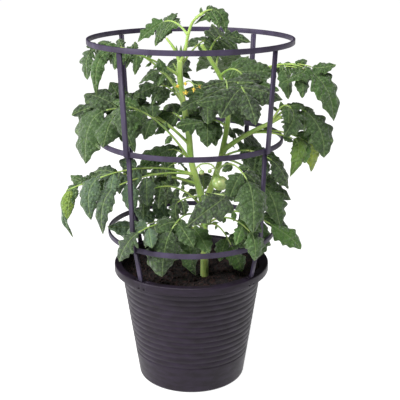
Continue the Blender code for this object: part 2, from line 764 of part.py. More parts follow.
def build_leaves(fixed):
    """Every leaf as one piece: its stalks cut to sit on the stem, and its leaflets joined to them.

    fixed are the names of the pieces already there. Each leaflet in turn takes the first of TURNS
    that keeps it clear of them, of every other leaf's stalk and of the leaflets placed before it. One
    that finds no room isn't made.
    """
    stalks = {}
    for name, arms in LEAVES.items():
        stalks[name] = []
        for arm in arms:
            line = arc_line(*stalk_of(arm), np.linspace(0, 1, STALK_STEPS + 1))
            radii = np.linspace(*STALK_RADII, STALK_STEPS + 1)
            stalks[name].append(tube(line, radii, STALK_SIDES))
    fixed_trees = [object_tree(name) for name in fixed]
    stalk_trees = {name: [search_tree(piece) for piece in pieces] for name, pieces in stalks.items()}
    placed = []
    for number, (name, arms) in enumerate(LEAVES.items()):
        other_stalks = [tree for other, trees in stalk_trees.items() if other != name for tree in trees]
        other_leaflets = [tree for other, tree in placed if other != name]
        blades = []
        for arm_number, arm in enumerate(arms):
            pairs = min(arm[5], SOLID_PAIRS)
            for leaflet in leaflets_of(arm, number, arm_number, pairs):
                for turn in TURNS:
                    turned_leaflet = turn_leaflet(leaflet, *turn)
                    tree = search_tree(leaflet_plate(turned_leaflet, LEAFLET_ROWS, ROOM))
                    if not any(tree.overlap(other) for other in fixed_trees + other_stalks + other_leaflets):
                        blade = leaflet_plate(turned_leaflet, LEAFLET_ROWS)
                        placed.append((name, search_tree(blade)))
                        blades.append(blade)
                        break
        stem = next(piece for piece, parts in GROWN.items() if arms[0][0] in parts)
        leaf = add_object(name, mesh_of(name, *stalks[name][0]), "leaf_blade")
        apply_boolean(leaf, stalks[name][1:] + blades, "UNION")
        apply_boolean(leaf, stem_tubes(stem, GAP), "DIFFERENCE")


# ---------------------------------------------------------------- flowers and fruit


def build_flowers():
    """A stalk from the stem with flowers hanging from it, grown as one piece."""
    line = smooth_line(FLOWER_STALK, 3) * MM
    truss = add_object("flower_truss", mesh_of("flower_truss", *tube(line, [1.2 * MM] * len(line), 5)),
                       "yellow_petal")
    pieces = []
    for centre in FLOWERS:
        centre = np.array(centre) * MM
        near = line[np.argmin(np.linalg.norm(line - centre, axis=1))]
        pieces.append(tube([near, centre], [0.9 * MM] * 2, 4))
        pieces.append(ball(centre, [FLOWER_RADIUS] * 2 + [0.8 * FLOWER_RADIUS], 3, 6))
    apply_boolean(truss, pieces, "UNION")
    apply_boolean(truss, stem_tubes("main_stem", GAP), "DIFFERENCE")


def build_fruit():
    """One green tomato, and the stalk that it and two very young fruits hang from."""
    fruit = ball(np.array(FRUIT_CENTRE) * MM, FRUIT_RADII, 8, 16)
    add_object("green_tomato", mesh_of("green_tomato", *fruit), "unripe_fruit")
    line = smooth_line(FRUIT_STALK, 3) * MM
    truss = add_object("fruit_truss", mesh_of("fruit_truss", *tube(line, [1.5 * MM] * len(line), 5)),
                       "green_stem")
    pieces = []
    for x, y, z, radius in SMALL_FRUITS:
        centre = np.array([x, y, z]) * MM
        near = line[np.argmin(np.linalg.norm(line - centre, axis=1))]
        pieces.append(tube([near, centre], [1.0 * MM] * 2, 4))
        pieces.append(ball(centre, [radius * MM] * 3, 4, 6))
    apply_boolean(truss, pieces, "UNION")
    apply_boolean(truss, stem_tubes("main_stem", GAP), "DIFFERENCE")
    grown = ball(np.array(FRUIT_CENTRE) * MM, [radius + GAP for radius in FRUIT_RADII], 8, 16)
    apply_boolean(truss, [grown], "DIFFERENCE")


def main():
    clear_scene()
    build_pot()
    build_soil()
    build_cage()
    build_stems()
    build_flowers()
    build_fruit()
    build_leaves([thing.name for thing in bpy.data.objects])


main()
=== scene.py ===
# %% [markdown]
# A young tomato plant grows in a ribbed plastic pot. A ring cage in three storeys stands on the rim
# and holds the leaves up. The CAD model gives the size and the place of every piece. This script gives
# each of them its real surface: soft lobed leaves, hairy stems, a moulded pot, crumbly soil.
# Everything is in metres, with +Z up and -Y to the front.

import bpy
import numpy as np
from mathutils import Matrix


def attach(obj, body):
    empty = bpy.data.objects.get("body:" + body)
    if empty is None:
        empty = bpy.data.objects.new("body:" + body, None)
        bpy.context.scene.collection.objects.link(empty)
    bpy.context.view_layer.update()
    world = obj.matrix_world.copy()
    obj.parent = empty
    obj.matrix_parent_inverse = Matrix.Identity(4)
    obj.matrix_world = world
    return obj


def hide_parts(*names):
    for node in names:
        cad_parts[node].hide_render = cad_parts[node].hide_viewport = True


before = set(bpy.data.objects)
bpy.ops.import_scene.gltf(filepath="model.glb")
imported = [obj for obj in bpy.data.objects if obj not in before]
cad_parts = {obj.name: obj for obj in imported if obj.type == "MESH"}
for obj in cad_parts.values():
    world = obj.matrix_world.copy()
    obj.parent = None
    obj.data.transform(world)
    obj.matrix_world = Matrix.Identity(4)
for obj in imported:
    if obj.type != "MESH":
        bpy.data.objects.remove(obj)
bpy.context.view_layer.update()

# %% [markdown]
# The camera stands in front, a little above the plant, and looks down on it by about 17 degrees. A
# long lens keeps the rings' ovals flat.

# %% The camera
CAMERA_PLACE = (0.0, -1.6026, 0.8579)
LOOKS_DOWN = 0.2998  # radians
LOOKS_RIGHT = 0.0106
LENS_MM = 77.6

camera_data = bpy.data.cameras.new("camera")
camera_data.lens = LENS_MM
camera_data.sensor_width = 36
camera = bpy.data.objects.new("camera", camera_data)
camera.location = CAMERA_PLACE
camera.rotation_euler = (np.pi / 2 - LOOKS_DOWN, 0, -LOOKS_RIGHT)
bpy.context.scene.collection.objects.link(camera)
bpy.context.scene.camera = camera
print("camera at", CAMERA_PLACE)

# %% [markdown]
# Every piece below is one or more tubes: a grid of points whose columns run round and whose rows run
# along. A stem, a leaflet with its two sides, a ring and the pot's wall are all such tubes, so one
# function puts any of them into a mesh. It joins each point to the next one in its row and column,
# and closes both ends with one flat face each, unless the rows close in a loop as a ring's do.


# %% Tubes to mesh
def tube_faces(rows, columns, loop=False):
    """Corner numbers of the faces of a grid (rows, columns, 3) that closes round its columns.

    The face at row i and column j joins (i, j), (i, j + 1), (i + 1, j + 1) and (i + 1, j).
    """
    i, j = np.meshgrid(np.arange(rows if loop else rows - 1), np.arange(columns), indexing="ij")
    ahead, beside = (i + 1) % rows, (j + 1) % columns
    quads = np.stack([i * columns + j, i * columns + beside, ahead * columns + beside,
                      ahead * columns + j], axis=-1).reshape(-1, 4)
    if loop:
        return [quads]
    first = np.arange(columns)[::-1][None, :]
    last = (rows - 1) * columns + np.arange(columns)[None, :]
    return [quads, first, last]


def make_piece(name, tubes, materials, stands_for=(), smooth=True):
    """One mesh object of many tubes. A tube is (points, material number, loop, {attribute: values}).

    Attributes hold three numbers for each point, such as how far along a leaflet it lies.
    """
    points, corners, sizes, slots = [], [], [], []
    start = 0
    for grid, slot, loop, _ in tubes:
        rows, columns = grid.shape[:2]
        for faces in tube_faces(rows, columns, loop):
            corners.append((faces + start).ravel())
            sizes.append(np.full(len(faces), faces.shape[1]))
            slots.append(np.full(len(faces), slot))
        points.append(grid.reshape(-1, 3))
        start += rows * columns
    points, corners = np.concatenate(points), np.concatenate(corners)
    sizes, slots = np.concatenate(sizes), np.concatenate(slots)
    mesh = bpy.data.meshes.new(name)
    mesh.vertices.add(len(points))
    mesh.vertices.foreach_set("co", points.ravel())
    mesh.loops.add(len(corners))
    mesh.loops.foreach_set("vertex_index", corners)
    mesh.polygons.add(len(sizes))
    mesh.polygons.foreach_set("loop_start", np.concatenate([[0], np.cumsum(sizes)[:-1]]))
    for material in materials:
        mesh.materials.append(material)
    mesh.polygons.foreach_set("material_index", slots)
    mesh.update(calc_edges=True)
    mesh.validate()
    for key in sorted({key for tube in tubes for key in tube[3]}):
        values = np.concatenate([
            tube[3].get(key, np.zeros(tube[0].shape)).reshape(-1, 3) for tube in tubes
        ])
        mesh.attributes.new(key, "FLOAT_VECTOR", "POINT").data.foreach_set("vector", values.ravel())
    if smooth:
        mesh.shade_smooth()
    piece = bpy.data.objects.new(name, mesh)
    bpy.context.scene.collection.objects.link(piece)
    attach(piece, "root")
    if stands_for:
        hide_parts(*stands_for)
    return piece


def triangles(piece):
    """How many triangles a piece's faces come to."""
    totals = np.zeros(len(piece.data.polygons), int)
    piece.data.polygons.foreach_get("loop_total", totals)
    return int((totals - 2).sum())


# %% [markdown]
# A stem or a stalk is a profile carried along a curve. The curve goes through a few points that the
# CAD model uses too, so the finished stem lies just where the solid one does.


# %% Curves and round tubes
def unit(vectors):
    """Vectors shortened to length 1."""
    return vectors / np.linalg.norm(vectors, axis=-1, keepdims=True)


def smooth_line(points, steps):
    """A Catmull-Rom curve: between two points it blends the four nearest ones with cubic weights."""
    points = np.asarray(points, float)
    ends = np.vstack([2 * points[0] - points[1], points, 2 * points[-1] - points[-2]])
    a, b, c, d = (ends[k : k + len(points) - 1, None] for k in range(4))
    t = np.linspace(0, 1, steps, endpoint=False)[None, :, None]
    parts = 0.5 * (2 * b + (c - a) * t + (2 * a - 5 * b + 4 * c - d) * t**2
                   + (3 * b - a - 3 * c + d) * t**3)
    return np.vstack([parts.reshape(-1, 3), points[-1:]])


def arc_line(start, middle, end, share):
    """The quadratic Bezier curve (1 - t)^2 start + 2 t (1 - t) middle + t^2 end."""
    t = np.asarray(share, float)[:, None]
    return (1 - t) ** 2 * start + 2 * t * (1 - t) * middle + t**2 * end


def carried_frame(line):
    """Directions ahead, across and aside at each point of a line, carried along without twist."""
    ahead = unit(np.gradient(line, axis=0))
    across = np.zeros_like(ahead)
    step = unit(np.cross(ahead[0], (0.31, 0.95, 0.05)))
    for k, direction in enumerate(ahead):
        step = unit(step - direction * (step @ direction))
        across[k] = step
    return ahead, across, np.cross(ahead, across)


def round_tube(line, radii, sides, ridges=0.0, ridge_count=3):
    """A tube: centre + radius * (1 + ridges * cos(count * angle)) * (across * cos + aside * sin)."""
    _, across, aside = carried_frame(line)
    angle = 2 * np.pi * np.arange(sides) / sides
    radius = np.asarray(radii)[:, None] * (1 + ridges * np.cos(ridge_count * angle))[None, :]
    return (line[:, None] + (radius * np.cos(angle))[..., None] * across[:, None]
            + (radius * np.sin(angle))[..., None] * aside[:, None])


def heading(degrees):
    """The level direction at a compass angle, 0 at +X and 90 at +Y."""
    turn = np.radians(degrees)
    return np.array([np.cos(turn), np.sin(turn), 0.0])


# %% [markdown]
# Shader colours are linear light, while colours are named in sRGB hex. One function turns hex to
# linear, and one small function adds a node with its settings and links. Every material starts from
# a Principled shader and is named for what the real thing is and how its surface was made.


# %% Colours and nodes
def linear(code):
    """sRGB hex to linear: a channel c becomes ((c + 0.055) / 1.055)^2.4, or c / 12.92 when dark."""
    c = np.array([int(code[k : k + 2], 16) / 255 for k in (1, 3, 5)])
    channels = np.where(c <= 0.04045, c / 12.92, ((c + 0.055) / 1.055) ** 2.4)
    return (*channels.tolist(), 1.0)


def add(tree, kind, inputs=None, out=None, **settings):
    """Adds one shader node of a kind and returns its output called out, or its first one in use.

    settings are the node's own properties. inputs maps a socket's name or number to a value, to a
    hex colour, or to another node's output, which is linked to it.
    """
    made = tree.nodes.new("ShaderNode" + kind)
    for key, value in settings.items():
        setattr(made, key, value)
    for key, value in (inputs or {}).items():
        if isinstance(value, bpy.types.NodeSocket):
            tree.links.new(value, made.inputs[key])
        else:
            made.inputs[key].default_value = linear(value) if isinstance(value, str) else value
    return made.outputs[out] if out else next(socket for socket in made.outputs if socket.enabled)


def new_material(name, base, roughness, **sockets):
    """A Principled material of one colour, with its tree and its shader ready for more nodes."""
    material = bpy.data.materials.new(name)
    material.use_nodes = True
    shader = material.node_tree.nodes["Principled BSDF"]
    shader.inputs["Base Color"].default_value = linear(base)
    shader.inputs["Roughness"].default_value = roughness
    for key, value in sockets.items():
        shader.inputs[key.replace("_", " ")].default_value = value
    return material, material.node_tree, shader


def link(tree, shader, **outputs):
    """Links node outputs to the shader's sockets, named with _ for a space."""
    for key, output in outputs.items():
        tree.links.new(output, shader.inputs[key.replace("_", " ")])


MIX_FACTOR, MIX_FIRST, MIX_SECOND = 0, 6, 7  # a colour Mix node's sockets by number

# %% [markdown]
# The pot is injection-moulded polypropylene, dark anthracite with a hint of purple, and satin from
# the finely etched mould. Flat bands ring its wall, one above the other, and a rolled rim hangs over
# the top. Dust and handling make the satin uneven, which faint large noise in the roughness gives.
# The cage is the same plastic, with faint lines along its bars.


# %% Moulded plastics
def moulded_plastic(name, dark, light, roughness, streak):
    """Satin moulded plastic: colour drifts between two near tones, and a fine grain bumps it.

    streak squeezes the pattern along Z, which draws faint scuffs round a pot or along a bar.
    """
    material, tree, shader = new_material(name, dark, roughness, Specular_IOR_Level=0.22)
    place = add(tree, "TexCoord", out="Object")
    along = add(tree, "Mapping", {"Vector": place, "Scale": streak})
    drift = add(tree, "TexNoise", {"Vector": along, "Scale": 1000 / 30, "Detail": 4.0, "Roughness": 0.6},
                out="Fac")
    share = add(tree, "MapRange", {"Value": drift, "From Min": 0.35, "From Max": 0.7})
    colour = add(tree, "Mix", {MIX_FACTOR: share, MIX_FIRST: dark, MIX_SECOND: light}, data_type="RGBA")
    link(tree, shader, Base_Color=colour)
    worn = add(tree, "MapRange", {"Value": drift, "From Min": 0.3, "From Max": 0.75,
               "To Min": roughness + 0.08, "To Max": roughness - 0.05})
    link(tree, shader, Roughness=worn)
    # The etched grain is 0.05 mm in truth; it is drawn 0.8 mm wide so that it shows
    grain = add(tree, "TexNoise", {"Vector": place, "Scale": 1000 / 0.8, "Detail": 2.0}, out="Fac")
    height = add(tree, "Bump", {"Height": grain, "Strength": 0.35, "Distance": 0.0002})
    link(tree, shader, Normal=height)
    return material


pot_plastic = moulded_plastic("pot_moulded_polypropylene", "#1d161f", "#292030", 0.42, (1, 1, 3))
cage_plastic = moulded_plastic("cage_moulded_polypropylene", "#342d3e", "#473f56", 0.42, (1, 1, 0.3))
print("plastics:", pot_plastic.name, cage_plastic.name)

# %% [markdown]
# The pot's wall is one outline turned round the Z axis. Its outer side carries the ribs: each is a
# flat band 11.7 mm high that bulges about a millimetre and ends in a narrow groove. The rim is a
# ledge with a band hanging from its edge, softly rounded where they meet.

# %% The pot
MM = 0.001
POT_STEPS = 160
BASE_RADIUS = 106.5 * MM
BASE_CORNER = 7 * MM
WALL = 3 * MM
WALL_TOP_RADIUS = 138.5 * MM
WALL_TOP_Z = 224 * MM
RIM_RADIUS = 152 * MM
RIM_TOP_Z = 240 * MM
RIM_LEDGE = 14 * MM
RIM_BAND = 2.5 * MM
RIB_COUNT = 14
RIB_PITCH = 11.7 * MM
RIBS_TOP_Z = 220 * MM
RIB_HEIGHT = 1.8 * MM


def wall_radius(z):
    """Outer radius of the plain cone at a height: straight from the base to under the rim."""
    return BASE_RADIUS + (z - BASE_CORNER) / (WALL_TOP_Z - BASE_CORNER) * (WALL_TOP_RADIUS - BASE_RADIUS)


def rib_bulge(z):
    """How far the wall lies in from the cone: a rib is |sin|^0.6 of its height, so its face is round
    and the groove beside it narrow."""
    place = (RIBS_TOP_Z - z) / RIB_PITCH
    inside = (place > 0) & (place < RIB_COUNT)
    return np.where(inside, -RIB_HEIGHT * (1 - np.abs(np.sin(np.pi * place)) ** 0.6), 0.0)


def rounded(centre_r, centre_z, radius, start, end, count):
    """Points (r, z) of a rounded corner from one angle to another, in degrees."""
    angle = np.radians(np.linspace(start, end, count))
    return np.stack([centre_r + radius * np.cos(angle), centre_z + radius * np.sin(angle)], axis=1)


def turned(outline, steps):
    """An outline (r, z) turned round the Z axis: (r cos a, r sin a, z), its ends closed flat."""
    angle = 2 * np.pi * np.arange(steps) / steps
    r, z = outline[:, :1], outline[:, 1:]
    return np.stack([r * np.cos(angle), r * np.sin(angle), z + 0 * angle], axis=-1)


ledge_inner = RIM_RADIUS - RIM_LEDGE
under_ledge = RIM_TOP_Z - WALL
outer_z = np.linspace(BASE_CORNER, WALL_TOP_Z, 150)
outer = np.stack([wall_radius(outer_z) + rib_bulge(outer_z), outer_z], axis=1)
outline = np.vstack([
    [(2 * MM, 0)],
    rounded(BASE_RADIUS - BASE_CORNER, BASE_CORNER, BASE_CORNER, -90, -4, 9),
    outer,
    [(ledge_inner + WALL, under_ledge), (RIM_RADIUS - RIM_BAND, under_ledge)],
    rounded(RIM_RADIUS - 1.2 * MM, WALL_TOP_Z + 1.2 * MM, 1.2 * MM, -180, 0, 7),
    rounded(RIM_RADIUS - 3 * MM, RIM_TOP_Z - 3 * MM, 3 * MM, 0, 90, 8),
    rounded(ledge_inner + 1.5 * MM, RIM_TOP_Z - 1.5 * MM, 1.5 * MM, 90, 150, 5),
    [(WALL_TOP_RADIUS - WALL, WALL_TOP_Z), (wall_radius(BASE_CORNER) - WALL, BASE_CORNER),
     (BASE_RADIUS - BASE_CORNER, WALL), (2 * MM, WALL)],
])
pot = make_piece("pot_shell", [(turned(outline, POT_STEPS), 0, False, {})], [pot_plastic],
                 ["pot"])
print("pot:", triangles(pot), "triangles")

# %% [markdown]
# Each leg of the cage plugs into a slot in the ledge, with a small clip hole on either side, and two
# prongs lock it through small square holes in the hanging band. Water leaves through round holes in
# the floor. All of them are cut from the turned wall with one Boolean, whose result replaces the
# mesh, so no cutter stays in the scene.

# %% Slots and holes
LEG_ANGLES = {"back_right": 48, "back_left": 137, "front_left": 230, "front_right": 320.5}  # degrees
LEG_DEPTH = 4 * MM
LEG_WIDTH = 9.5 * MM
SLOT_RADIUS = 146.3 * MM
CLIP_HOLE = 4 * MM
CLIP_HOLE_OFFSET = 13 * MM
PRONG_HOLE = 3 * MM  # square, two in the hanging band below each leg
PRONG_SPACING = 12 * MM
DRAIN_HOLES = 5
DRAIN_CIRCLE, DRAIN_RADIUS = 62 * MM, 6 * MM
SLOT_CLEARANCE = 1.2 * MM  # in all, both sides together
PRONG_RISE = 2.6 * MM  # above the band's lower edge


def block(centre, outward, size):
    """A box as a tube of two rows: centre +- outward, sideways and up by half of size."""
    sideways = np.cross((0, 0, 1), outward)
    corners = np.array([(-1, -1), (1, -1), (1, 1), (-1, 1)]) / 2
    flat = corners[:, :1] * size[0] * outward + corners[:, 1:] * size[1] * sideways
    return centre + np.stack([flat + (0, 0, z * size[2]) for z in (-0.5, 0.5)])


def cut(piece, tubes):
    """Cuts closed tubes out of a piece and keeps the result as its mesh."""
    cutter = make_piece("cutter", tubes, [], smooth=False)
    change = piece.modifiers.new("cut", "BOOLEAN")
    change.operation, change.solver, change.object = "DIFFERENCE", "EXACT", cutter
    change.use_self = False
    graph = bpy.context.evaluated_depsgraph_get()
    changed = bpy.data.meshes.new_from_object(piece.evaluated_get(graph))
    piece.modifiers.remove(change)
    piece.data = changed
    bpy.data.objects.remove(cutter, do_unlink=True)


cutters = []
for name, angle in LEG_ANGLES.items():
    outward = heading(angle)
    sideways = np.cross((0, 0, 1), outward)
    slot_centre = outward * SLOT_RADIUS + (0, 0, RIM_TOP_Z - WALL / 2)
    slot = (LEG_DEPTH + SLOT_CLEARANCE, LEG_WIDTH + SLOT_CLEARANCE, 3 * WALL)
    cutters.append(block(slot_centre, outward, slot))
    for side in (-1, 1):
        beside = slot_centre + sideways * side * CLIP_HOLE_OFFSET
        cutters.append(block(beside, outward, (CLIP_HOLE, 1.5 * CLIP_HOLE, 3 * WALL)))
    towards = 1 if name in ("front_left", "back_right") else -1
    band_centre = outward * (RIM_RADIUS - RIM_BAND / 2) + (0, 0, WALL_TOP_Z + PRONG_RISE)
    for step in (0, 1):
        prong = band_centre + sideways * towards * step * PRONG_SPACING
        cutters.append(block(prong, outward, (4 * RIM_BAND, PRONG_HOLE, PRONG_HOLE)))
for k in range(DRAIN_HOLES):
    middle = DRAIN_CIRCLE * heading(360 * k / DRAIN_HOLES)
    cutters.append(turned(np.array([(DRAIN_RADIUS, -WALL), (DRAIN_RADIUS, 3 * WALL)]), 24) + middle)
cut(pot, [(cutter, 0, False, {}) for cutter in cutters])
print("cut", len(cutters), "slots and holes; the pot has", triangles(pot), "triangles")

# %% [markdown]
# The cage comes as parts that click together: three rings and, between them, four legs for each
# storey. A ring is a flat band on edge with rounded corners. A leg is a channel, open towards the
# plant, which is stiff and needs little plastic. The foot of each upper leg hooks over the ring
# below it from outside.

# %% Rings
RINGS = {"ring_bottom": (160.5 * MM, 306 * MM), "ring_middle": (172.5 * MM, 487.5 * MM),
         "ring_top": (189.5 * MM, 671 * MM)}
BAND_HEIGHT = 9.5 * MM
BAND_THICKNESS = 4 * MM
BAND_CORNER = 0.9 * MM
LEG_SET_BACK = 1.5 * MM


def rounded_band(radius, z):
    """Outline (r, z) of a ring's band, clockwise, with its four corners rounded."""
    r, h = BAND_THICKNESS / 2 - BAND_CORNER, BAND_HEIGHT / 2 - BAND_CORNER
    corners = [(r, h, 90, 0), (r, -h, 0, -90), (-r, -h, -90, -180), (-r, h, 180, 90)]
    return np.vstack([rounded(radius + x, z + y, BAND_CORNER, a, b, 4) for x, y, a, b in corners])


def hoop(outline, steps):
    """A closed outline (r, z) turned into a hoop. Its rows go round the Z axis and close."""
    angle = 2 * np.pi * np.arange(steps)[:, None] / steps
    r, z = outline[:, 0], outline[:, 1]
    return np.stack([r * np.cos(angle), r * np.sin(angle), z + 0 * angle], axis=-1)


for name, (radius, z) in RINGS.items():
    ring = make_piece(name + "_band", [(hoop(rounded_band(radius, z), 160), 0, True, {})],
                      [cage_plastic], [name])
print("each ring:", triangles(ring), "triangles")

# %% Legs
LEG_WALL = 2 * MM
FOOT_Z = 226 * MM
FOOT_RADIUS = 143.6 * MM
GAP = 0.3 * MM
TOP_LEG_WIDTH = 10.5 * MM


def channel_outline(width):
    """A U section (sideways, outward), open inwards, with its two outer edges rounded by 1 mm.

    It runs clockwise, so that the faces look outwards when the leg's rows go upwards.
    """
    half, back, front = width / 2, -LEG_DEPTH / 2, LEG_DEPTH / 2
    round_right = rounded(half - MM, front - MM, MM, 90, 0, 4)
    round_left = rounded(-half + MM, front - MM, MM, 180, 90, 4)
    return np.vstack([
        round_left, round_right, [(half, back), (half - LEG_WALL, back), (half - LEG_WALL,
        front - LEG_WALL), (-half + LEG_WALL, front - LEG_WALL), (-half + LEG_WALL, back), (-half, back)],
    ])


def leg_tube(angle, foot, head):
    """The channel carried straight from foot to head, each (radius, z, width)."""
    outward = heading(angle)
    sideways = np.cross((0, 0, 1), outward)
    grid = []
    for share in (0, 1):
        radius, z, width = (1 - share) * np.array(foot) + share * np.array(head)
        section = channel_outline(width)
        grid.append(section[:, :1] * sideways + (radius + section[:, 1:]) * outward + (0, 0, z))
    return np.array(grid)


ring_below = {"bottom": None, "middle": "ring_bottom", "top": "ring_middle"}
ring_above = {"bottom": "ring_bottom", "middle": "ring_middle", "top": "ring_top"}
for stage in ring_above:
    head_radius, head_z = RINGS[ring_above[stage]]
    head = (head_radius - LEG_SET_BACK, head_z - BAND_HEIGHT / 2 - GAP,
            TOP_LEG_WIDTH if stage == "top" else LEG_WIDTH)
    foot = (FOOT_RADIUS, FOOT_Z, LEG_WIDTH)
    if ring_below[stage]:
        below_radius, below_z = RINGS[ring_below[stage]]
        foot = (below_radius + BAND_THICKNESS / 2 + GAP + LEG_DEPTH / 2, below_z - BAND_HEIGHT / 2,
                LEG_WIDTH + (1.5 * MM if stage == "top" else 0))
    for side, angle in LEG_ANGLES.items():
        name = f"leg_{stage}_{side}"
        leg = make_piece(name + "_channel", [(leg_tube(angle, foot, head), 0, False, {})],
                         [cage_plastic], [name], smooth=False)
print("12 legs of", triangles(leg), "triangles each")

# %% [markdown]
# Potting soil is a moist, nearly black mix of peat and bark. Its surface is a height over a round
# grid: a few long waves added up, plus finer lumps. Loose crumbs, each a small uneven ball, lie on
# it, because crumbs catch the light and make the edge of the soil look soft.

# %% The soil's material
soil_mix, tree, shader = new_material("soil_peat_and_bark", "#1c1312", 0.95)
place = add(tree, "TexCoord", out="Object")
crumbs = add(tree, "TexVoronoi", {"Vector": place, "Scale": 1000 / 4.0}, out="Color")
crumb_tone = add(tree, "SeparateColor", {"Color": crumbs}, out="Red")
browner = add(tree, "MapRange", {"Value": crumb_tone, "From Min": 0.45, "From Max": 1.0})
earth = add(tree, "Mix", {MIX_FACTOR: browner, MIX_FIRST: "#120b0d", MIX_SECOND: "#3a221e"},
            data_type="RGBA")
grit = add(tree, "TexVoronoi", {"Vector": place, "Scale": 1000 / 7.0}, out="Distance")
is_grit = add(tree, "Math", {0: grit, 1: 0.07}, operation="LESS_THAN")
pale = add(tree, "Mix", {MIX_FACTOR: is_grit, MIX_FIRST: earth, MIX_SECOND: "#6d6058"}, data_type="RGBA")
link(tree, shader, Base_Color=pale)
lumps = add(tree, "TexNoise", {"Vector": place, "Scale": 1000 / 3.0, "Detail": 5.0, "Roughness": 0.65},
            out="Fac")
relief = add(tree, "Bump", {"Height": lumps, "Strength": 1.0, "Distance": 0.0015})
link(tree, shader, Normal=relief)

# %% The soil's surface and crumbs
SOIL_EDGE_Z = 224 * MM
SOIL_CROWN_Z = 229 * MM
SOIL_RINGS, SOIL_SPOKES = 60, 150
CRUMB_COUNT = 1500
chance = np.random.default_rng(4)


def soil_height(x, y):
    """Height of the soil: a flat dome, plus sines of 100, 43, 17 and 7 mm with smaller amplitudes."""
    r = np.hypot(x, y) / (130 * MM)
    dome = SOIL_EDGE_Z + (SOIL_CROWN_Z - SOIL_EDGE_Z) * (1 - r**2)
    waves = 1.4 * np.sin(61 * x + 1.3) * np.cos(74 * y + 0.4) + 0.9 * np.sin(148 * x + 95 * y)
    waves += 0.7 * np.sin(370 * x - 210 * y + 2) * np.cos(300 * y) + 0.5 * np.sin(830 * x) * np.sin(910 * y)
    return dome + waves * MM * np.clip(1.15 - r**6, 0.15, 1)


inside = WALL + GAP
rings = np.linspace(0.01, 1, SOIL_RINGS)[::-1]
top_radius = wall_radius(SOIL_EDGE_Z) - inside
spokes = 2 * np.pi * np.arange(SOIL_SPOKES) / SOIL_SPOKES
x = top_radius * rings[:, None] * np.cos(spokes)
y = top_radius * rings[:, None] * np.sin(spokes)
top = np.stack([x, y, soil_height(x, y)], axis=-1)
body_outline = np.array([(2 * MM, WALL + GAP), (BASE_RADIUS - BASE_CORNER, WALL + GAP),
                         (wall_radius(BASE_CORNER) - inside, BASE_CORNER)])
soil_tube = np.concatenate([turned(body_outline, SOIL_SPOKES), top])

ball_turn = 2 * np.pi * np.arange(6) / 6
ball_rise = np.radians([-80, -30, 30, 80])
ball = np.stack([np.cos(ball_rise)[:, None] * np.cos(ball_turn), np.cos(ball_rise)[:, None]
                 * np.sin(ball_turn), np.sin(ball_rise)[:, None] + 0 * ball_turn], axis=-1)
reach = 126 * MM * np.sqrt(chance.random(CRUMB_COUNT))
bearing = 2 * np.pi * chance.random(CRUMB_COUNT)
size = (0.9 + 2.6 * chance.random(CRUMB_COUNT) ** 3) * MM
tubes = [(soil_tube, 0, False, {})]
for k in range(CRUMB_COUNT):
    squash = 0.6 + 0.6 * chance.random((4, 6, 3))
    cx, cy = reach[k] * np.cos(bearing[k]), reach[k] * np.sin(bearing[k])
    centre = np.array([cx, cy, soil_height(cx, cy) + 0.3 * size[k]])
    tubes.append((centre + size[k] * ball * squash, 0, False, {}))
soil = make_piece("soil_surface", tubes, [soil_mix], ["soil"])
print("soil:", triangles(soil), "triangles")
print("soil reaches from", round(float(top[..., 2].min()) * 1000, 1), "to",
      round(float(top[..., 2].max()) * 1000, 1), "mm")

# %% [markdown]
# Tomato stems are soft and green, a little ribbed, and covered in fine pale hairs that blur their
# edges. They are lighter on the side that faces the light. The hairs are real spikes here, coarser
# and fewer than on the plant so that they show.

# %% Stem and hair materials
green_stem, tree, shader = new_material("stem_green_hairy_skin", "#98b655", 0.5, Sheen_Weight=0.4,
                                        Sheen_Roughness=0.45, Subsurface_Weight=0.12,
                                        Subsurface_Scale=0.002)
place = add(tree, "TexCoord", out="Object")
stretched = add(tree, "Mapping", {"Vector": place, "Scale": (1, 1, 0.12)})
fibre = add(tree, "TexNoise", {"Vector": stretched, "Scale": 1000 / 2.0, "Detail": 3.0}, out="Fac")
patch = add(tree, "TexNoise", {"Vector": place, "Scale": 1000 / 35, "Detail": 2.0}, out="Fac")
both = add(tree, "Math", {0: fibre, 1: 0.45, 2: patch}, operation="MULTIPLY_ADD")
share = add(tree, "MapRange", {"Value": both, "From Min": 0.55, "From Max": 0.95})
skin = add(tree, "Mix", {MIX_FACTOR: share, MIX_FIRST: "#80a440", MIX_SECOND: "#b2c96b"},
           data_type="RGBA")
link(tree, shader, Base_Color=skin)
relief = add(tree, "Bump", {"Height": fibre, "Strength": 0.6, "Distance": 0.0004})
link(tree, shader, Normal=relief)
stem_hair, _, _ = new_material("plant_hair_translucent", "#d9e3b8", 0.6)

# %% Stems
STEMS = {
    "main_stem": (
        [(25, -55, 200), (25, -55, 230), (25, -45, 260), (25, -25, 305), (25, 0, 350)],
        8.0,
        7.0,
    ),
    "left_stem": (
        [(25, 0, 350), (10, -5, 405), (0, -10, 445), (-5, -10, 500), (-15, -10, 560), (-20, -10, 600),
         (-20, -10, 635)],
        6.8,
        5.2,
    ),
    "left_shoot": ([(-20, -10, 630), (-30, -10, 655), (-45, -5, 675)], 3.6, 2.2),
    "right_shoot": ([(-20, -10, 630), (-10, -10, 655), (-5, -5, 680), (5, 0, 705), (25, 0, 720)], 3.8, 2.0),
    "right_stem": (
        [(25, 0, 350), (35, 10, 375), (50, 15, 415), (60, 20, 455), (70, 30, 505), (70, 30, 545),
         (60, 20, 590), (35, 20, 635), (20, 20, 660)],
        6.2,
        3.6,
    ),
    "side_stem": ([(60, 20, 455), (90, 10, 480), (120, 0, 500), (145, -10, 515), (170, -15, 530)], 5.0, 3.2),
}
SOFT_STEMS = {"stem_left_leader": ("main_stem", "left_stem", "left_shoot", "right_shoot"),
              "stem_right_leader": ("right_stem", "side_stem")}
STEM_STEPS = 10
STEM_SIDES = 18


